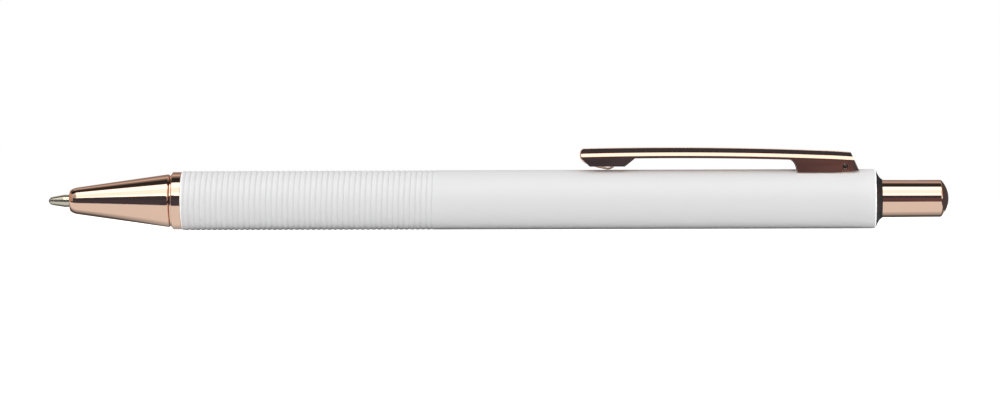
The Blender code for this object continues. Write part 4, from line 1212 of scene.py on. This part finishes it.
def camera():
    """The photograph's camera, near enough to see the pen's far ends at a slant."""
    data = bpy.data.cameras.new("camera")
    data.sensor_width = SENSOR
    data.lens = SENSOR * math.hypot(CAMERA_DISTANCE, CAMERA_X) / VIEW_WIDTH
    data.clip_start, data.clip_end = 0.01, 10.0
    made = put("camera", data)
    made.location = (CAMERA_X, -CAMERA_DISTANCE, AXIS_Z - CAMERA_DROP)
    turn = math.atan((CAMERA_X - AIM_X) / CAMERA_DISTANCE)
    aimed = Euler((math.pi / 2, 0.0, turn)).to_matrix()
    made.rotation_euler = (aimed @ Euler((0.0, 0.0, -PHOTO_TILT)).to_matrix()).to_euler()
    return made


def white_behind(tree, mirrored=True):
    """1 for camera and transmission rays, and for glossy rays where asked, and 0 for the rest."""
    rays = ["Is Camera Ray", "Is Transmission Ray"] + ["Is Glossy Ray"] * mirrored
    path = add(tree, "LightPath").node.outputs
    seen = path[rays[0]]
    for ray in rays[1:]:
        seen = add(tree, "Math", [(0, seen), (1, path[ray])], operation="MAXIMUM")
    return seen


def make_world():
    """A white surround for what is seen or mirrored, at a plain level for what it lights."""
    world = bpy.data.worlds.new("studio")
    bpy.context.scene.world = world
    world.use_nodes = True
    tree = world.node_tree
    strength = add(tree, "MapRange", [("Value", white_behind(tree)), ("To Min", WORLD_LEVEL)])
    fill(tree.nodes["Background"], [("Color", (1.0, 1.0, 1.0, 1.0)), ("Strength", strength)])


def glow(name, colour, level=1.0, base=(0.0, 0.0, 0.0), **sockets):
    """A material that shows one even colour, and its tree and shader."""
    light = {"Emission_Color": (*colour, 1.0), "Emission_Strength": level}
    return shader(name, base, Specular_IOR_Level=0.0, **light, **sockets)


def floor_material():
    """Pale matt floor that reads as white to the camera and still takes the pen's shadow.

    The white lift grows with the distance from the pen, where the lamps fade.
    """
    made, tree, principled = glow("pale_floor", (1.0, 1.0, 1.0), base=linear("#F2F2F2"), Roughness=0.9)
    away = add(tree, "VectorMath", [(0, place(tree, FLOOR_STRETCH))], "Value", operation="LENGTH")
    near, far = FLOOR_FADE
    spread = [("Value", away), ("From Min", near), ("From Max", far), ("To Min", FLOOR_LIFT)]
    seen = [(0, add(tree, "MapRange", spread)), (1, white_behind(tree, mirrored=False))]
    fill(principled, [("Emission Strength", add(tree, "Math", seen, operation="MULTIPLY"))])
    return made


def coordinate(tree, axis):
    return add(tree, "SeparateXYZ", [(0, add(tree, "TexCoord", output="Object"))], axis)


def arch_angle(tree):
    """The angle round the pen in degrees, from the camera's side upwards."""
    back = add(tree, "Math", [(0, coordinate(tree, "Y")), (1, -1.0)], operation="MULTIPLY")
    radians = add(tree, "Math", [(0, coordinate(tree, "Z")), (1, back)], operation="ARCTAN2")
    return add(tree, "Math", [(0, radians)], operation="DEGREES")


def graded(name, stops, position, top=1.0):
    """A glow that follows stops of (position, level or colour), with levels up to the top.

    Gives the material, its tree, its shader and the graded colour.
    """
    made, tree, principled = glow(name, (1.0, 1.0, 1.0), top)
    low, high = stops[0][0], stops[-1][0]
    share = add(tree, "MapRange", [("Value", position(tree)), ("From Min", low), ("From Max", high)])
    colour = add(tree, "ValToRGB", [("Fac", share)])
    elements = colour.node.color_ramp.elements
    while len(elements) < len(stops):
        elements.new(1.0)
    for element, (where, level) in zip(elements, stops):
        element.position = (where - low) / (high - low)
        element.color = (*(np.ones(3) * np.array(level) / top), 1.0)
    fill(principled, [("Emission Color", colour)])
    return made, tree, principled, colour


def arch_material():
    """The arch's bands by angle, dimmed off the pen's point, and an even warm level past both ends."""
    made, tree, principled, bands = graded("studio_arch", ARCH_STOPS, arch_angle, ARCH_TOP)
    along = coordinate(tree, "X")
    span = [("Value", along), ("From Min", ARCH_POINT_X[0]), ("From Max", ARCH_POINT_X[1])]
    dim = [("Factor", add(tree, "MapRange", span)), (6, bands), (7, (*ARCH_POINT, 1.0))]
    bands = add(tree, "Mix", dim, 2, data_type="RGBA", blend_type="MULTIPLY")
    away = add(tree, "Math", [(0, along), (1, -ARCH_MIDDLE)], operation="ADD")
    away = add(tree, "Math", [(0, away)], operation="ABSOLUTE")
    span = [("Value", away), ("From Min", ARCH_HALF_LENGTH), ("From Max", ARCH_HALF_LENGTH + ARCH_FADE)]
    warm = (*shade(ARCH_END, 1 / ARCH_TOP), 1.0)
    past = [("Factor", add(tree, "MapRange", span)), (6, bands), (7, warm)]
    fill(principled, [("Emission Color", add(tree, "Mix", past, 2, data_type="RGBA"))])
    return made


def dark_material():
    """The dark front cards: a colour that changes along the pen, unevenly bright."""
    made, tree, principled, _ = graded("dark_front", DARK_STOPS, lambda tree: coordinate(tree, "X"))
    low, high = DARK_MOTTLE
    mottle = [("Value", grain(tree, (6,) * 3)), ("To Min", low), ("To Max", high)]
    fill(principled, [("Emission Strength", add(tree, "MapRange", mottle))])
    return made


def front_cards():
    """The dark cards in front of the pen: one on the floor, a skirt, and a flag with a sloping brim."""
    dark = dark_material()
    near = lying(FLAG_X, (FLAG_Y, 0.0))[:2]
    edge = [(x, y, CARD_Z) for x, y in zip(FLAG_X, FLAG_EDGE)]
    card("low_flag", near + edge[::-1], dark)
    card("front_skirt", standing((FLAG_X[0], FLAG_Y), (FLAG_X[1], FLAG_Y), FLAG_SKIRT), dark)
    brim = [(x, FLAG_Y, -FLAG_Y * math.tan(math.radians(angle))) for x, angle in FLAG_BRIM]
    foot = [(x, FLAG_Y, FLAG_SKIRT) for x in FLAG_X[::-1]]
    card("front_flag", foot + brim, glow("black_flag", FLAG_COLOUR)[0], faces=(range(5),))


def end_cards():
    """The card on the floor by the pen and the dim and warm cards off its ends."""
    sheen = graded("floor_sheen", SHEEN_STOPS, lambda tree: coordinate(tree, "Y"))[0]
    card("floor_sheen", lying(SHEEN_X, (SHEEN_STOPS[0][0], SHEEN_STOPS[-1][0])), sheen)
    dusk = glow("dusk", DUSK_COLOUR)[0]
    card("end_flag", standing(*DUSK_FLAG), dusk)
    card("end_floor", lying(*DUSK_FLOOR), dusk)
    card("point_flag", standing(*WARM_FLAG), glow("warm", WARM_COLOUR)[0])


class PEN_OT_stage(PenOperator, bpy.types.Operator):
    """Make the floor, the light, the dark cards and the camera"""

    bl_idname = "pen.make_stage"
    bl_label = "Stage"

    def execute(self, context):
        make_world()
        across = (-FLOOR_REACH, FLOOR_REACH)
        card("floor", lying(across, across, FLOOR_Z), floor_material(), only_mirrored=False)
        arch(arch_material())
        front_cards()
        end_cards()
        lamps()
        context.scene.camera = camera()
        context.scene.view_settings.view_transform = "Standard"
        return {"FINISHED"}


OPERATORS = (PEN_OT_barrel, PEN_OT_trim, PEN_OT_clip, PEN_OT_refill, PEN_OT_works, PEN_OT_stage)


class PEN_PT_panel(bpy.types.Panel):
    """The pen's operators and sizes in the sidebar"""

    bl_idname = "PEN_PT_panel"
    bl_label = "Ballpoint pen"
    bl_space_type = "VIEW_3D"
    bl_region_type = "UI"
    bl_category = "Pen"

    def draw(self, context):
        for operator in OPERATORS:
            self.layout.operator(operator.bl_idname)
        for name, group in GROUPS.items():
            column = self.layout.column(align=True)
            for field in group.__annotations__:
                column.prop(getattr(context.scene, name), field)


def register():
    for group in GROUPS.values():
        bpy.utils.register_class(group)
    for name, group in GROUPS.items():
        setattr(bpy.types.Scene, name, bpy.props.PointerProperty(type=group))
    for operator in OPERATORS:
        bpy.utils.register_class(operator)
    bpy.utils.register_class(PEN_PT_panel)


def unregister():
    bpy.utils.unregister_class(PEN_PT_panel)
    for operator in reversed(OPERATORS):
        bpy.utils.unregister_class(operator)
    for name, group in GROUPS.items():
        delattr(bpy.types.Scene, name)
        bpy.utils.unregister_class(group)


def main():
    register()
    bpy.ops.pen.make_barrel()
    bpy.ops.pen.make_trim()
    bpy.ops.pen.make_clip()
    bpy.ops.pen.make_refill()
    bpy.ops.pen.make_works()
    bpy.ops.pen.make_stage()


if __name__ == "__main__":
    main()
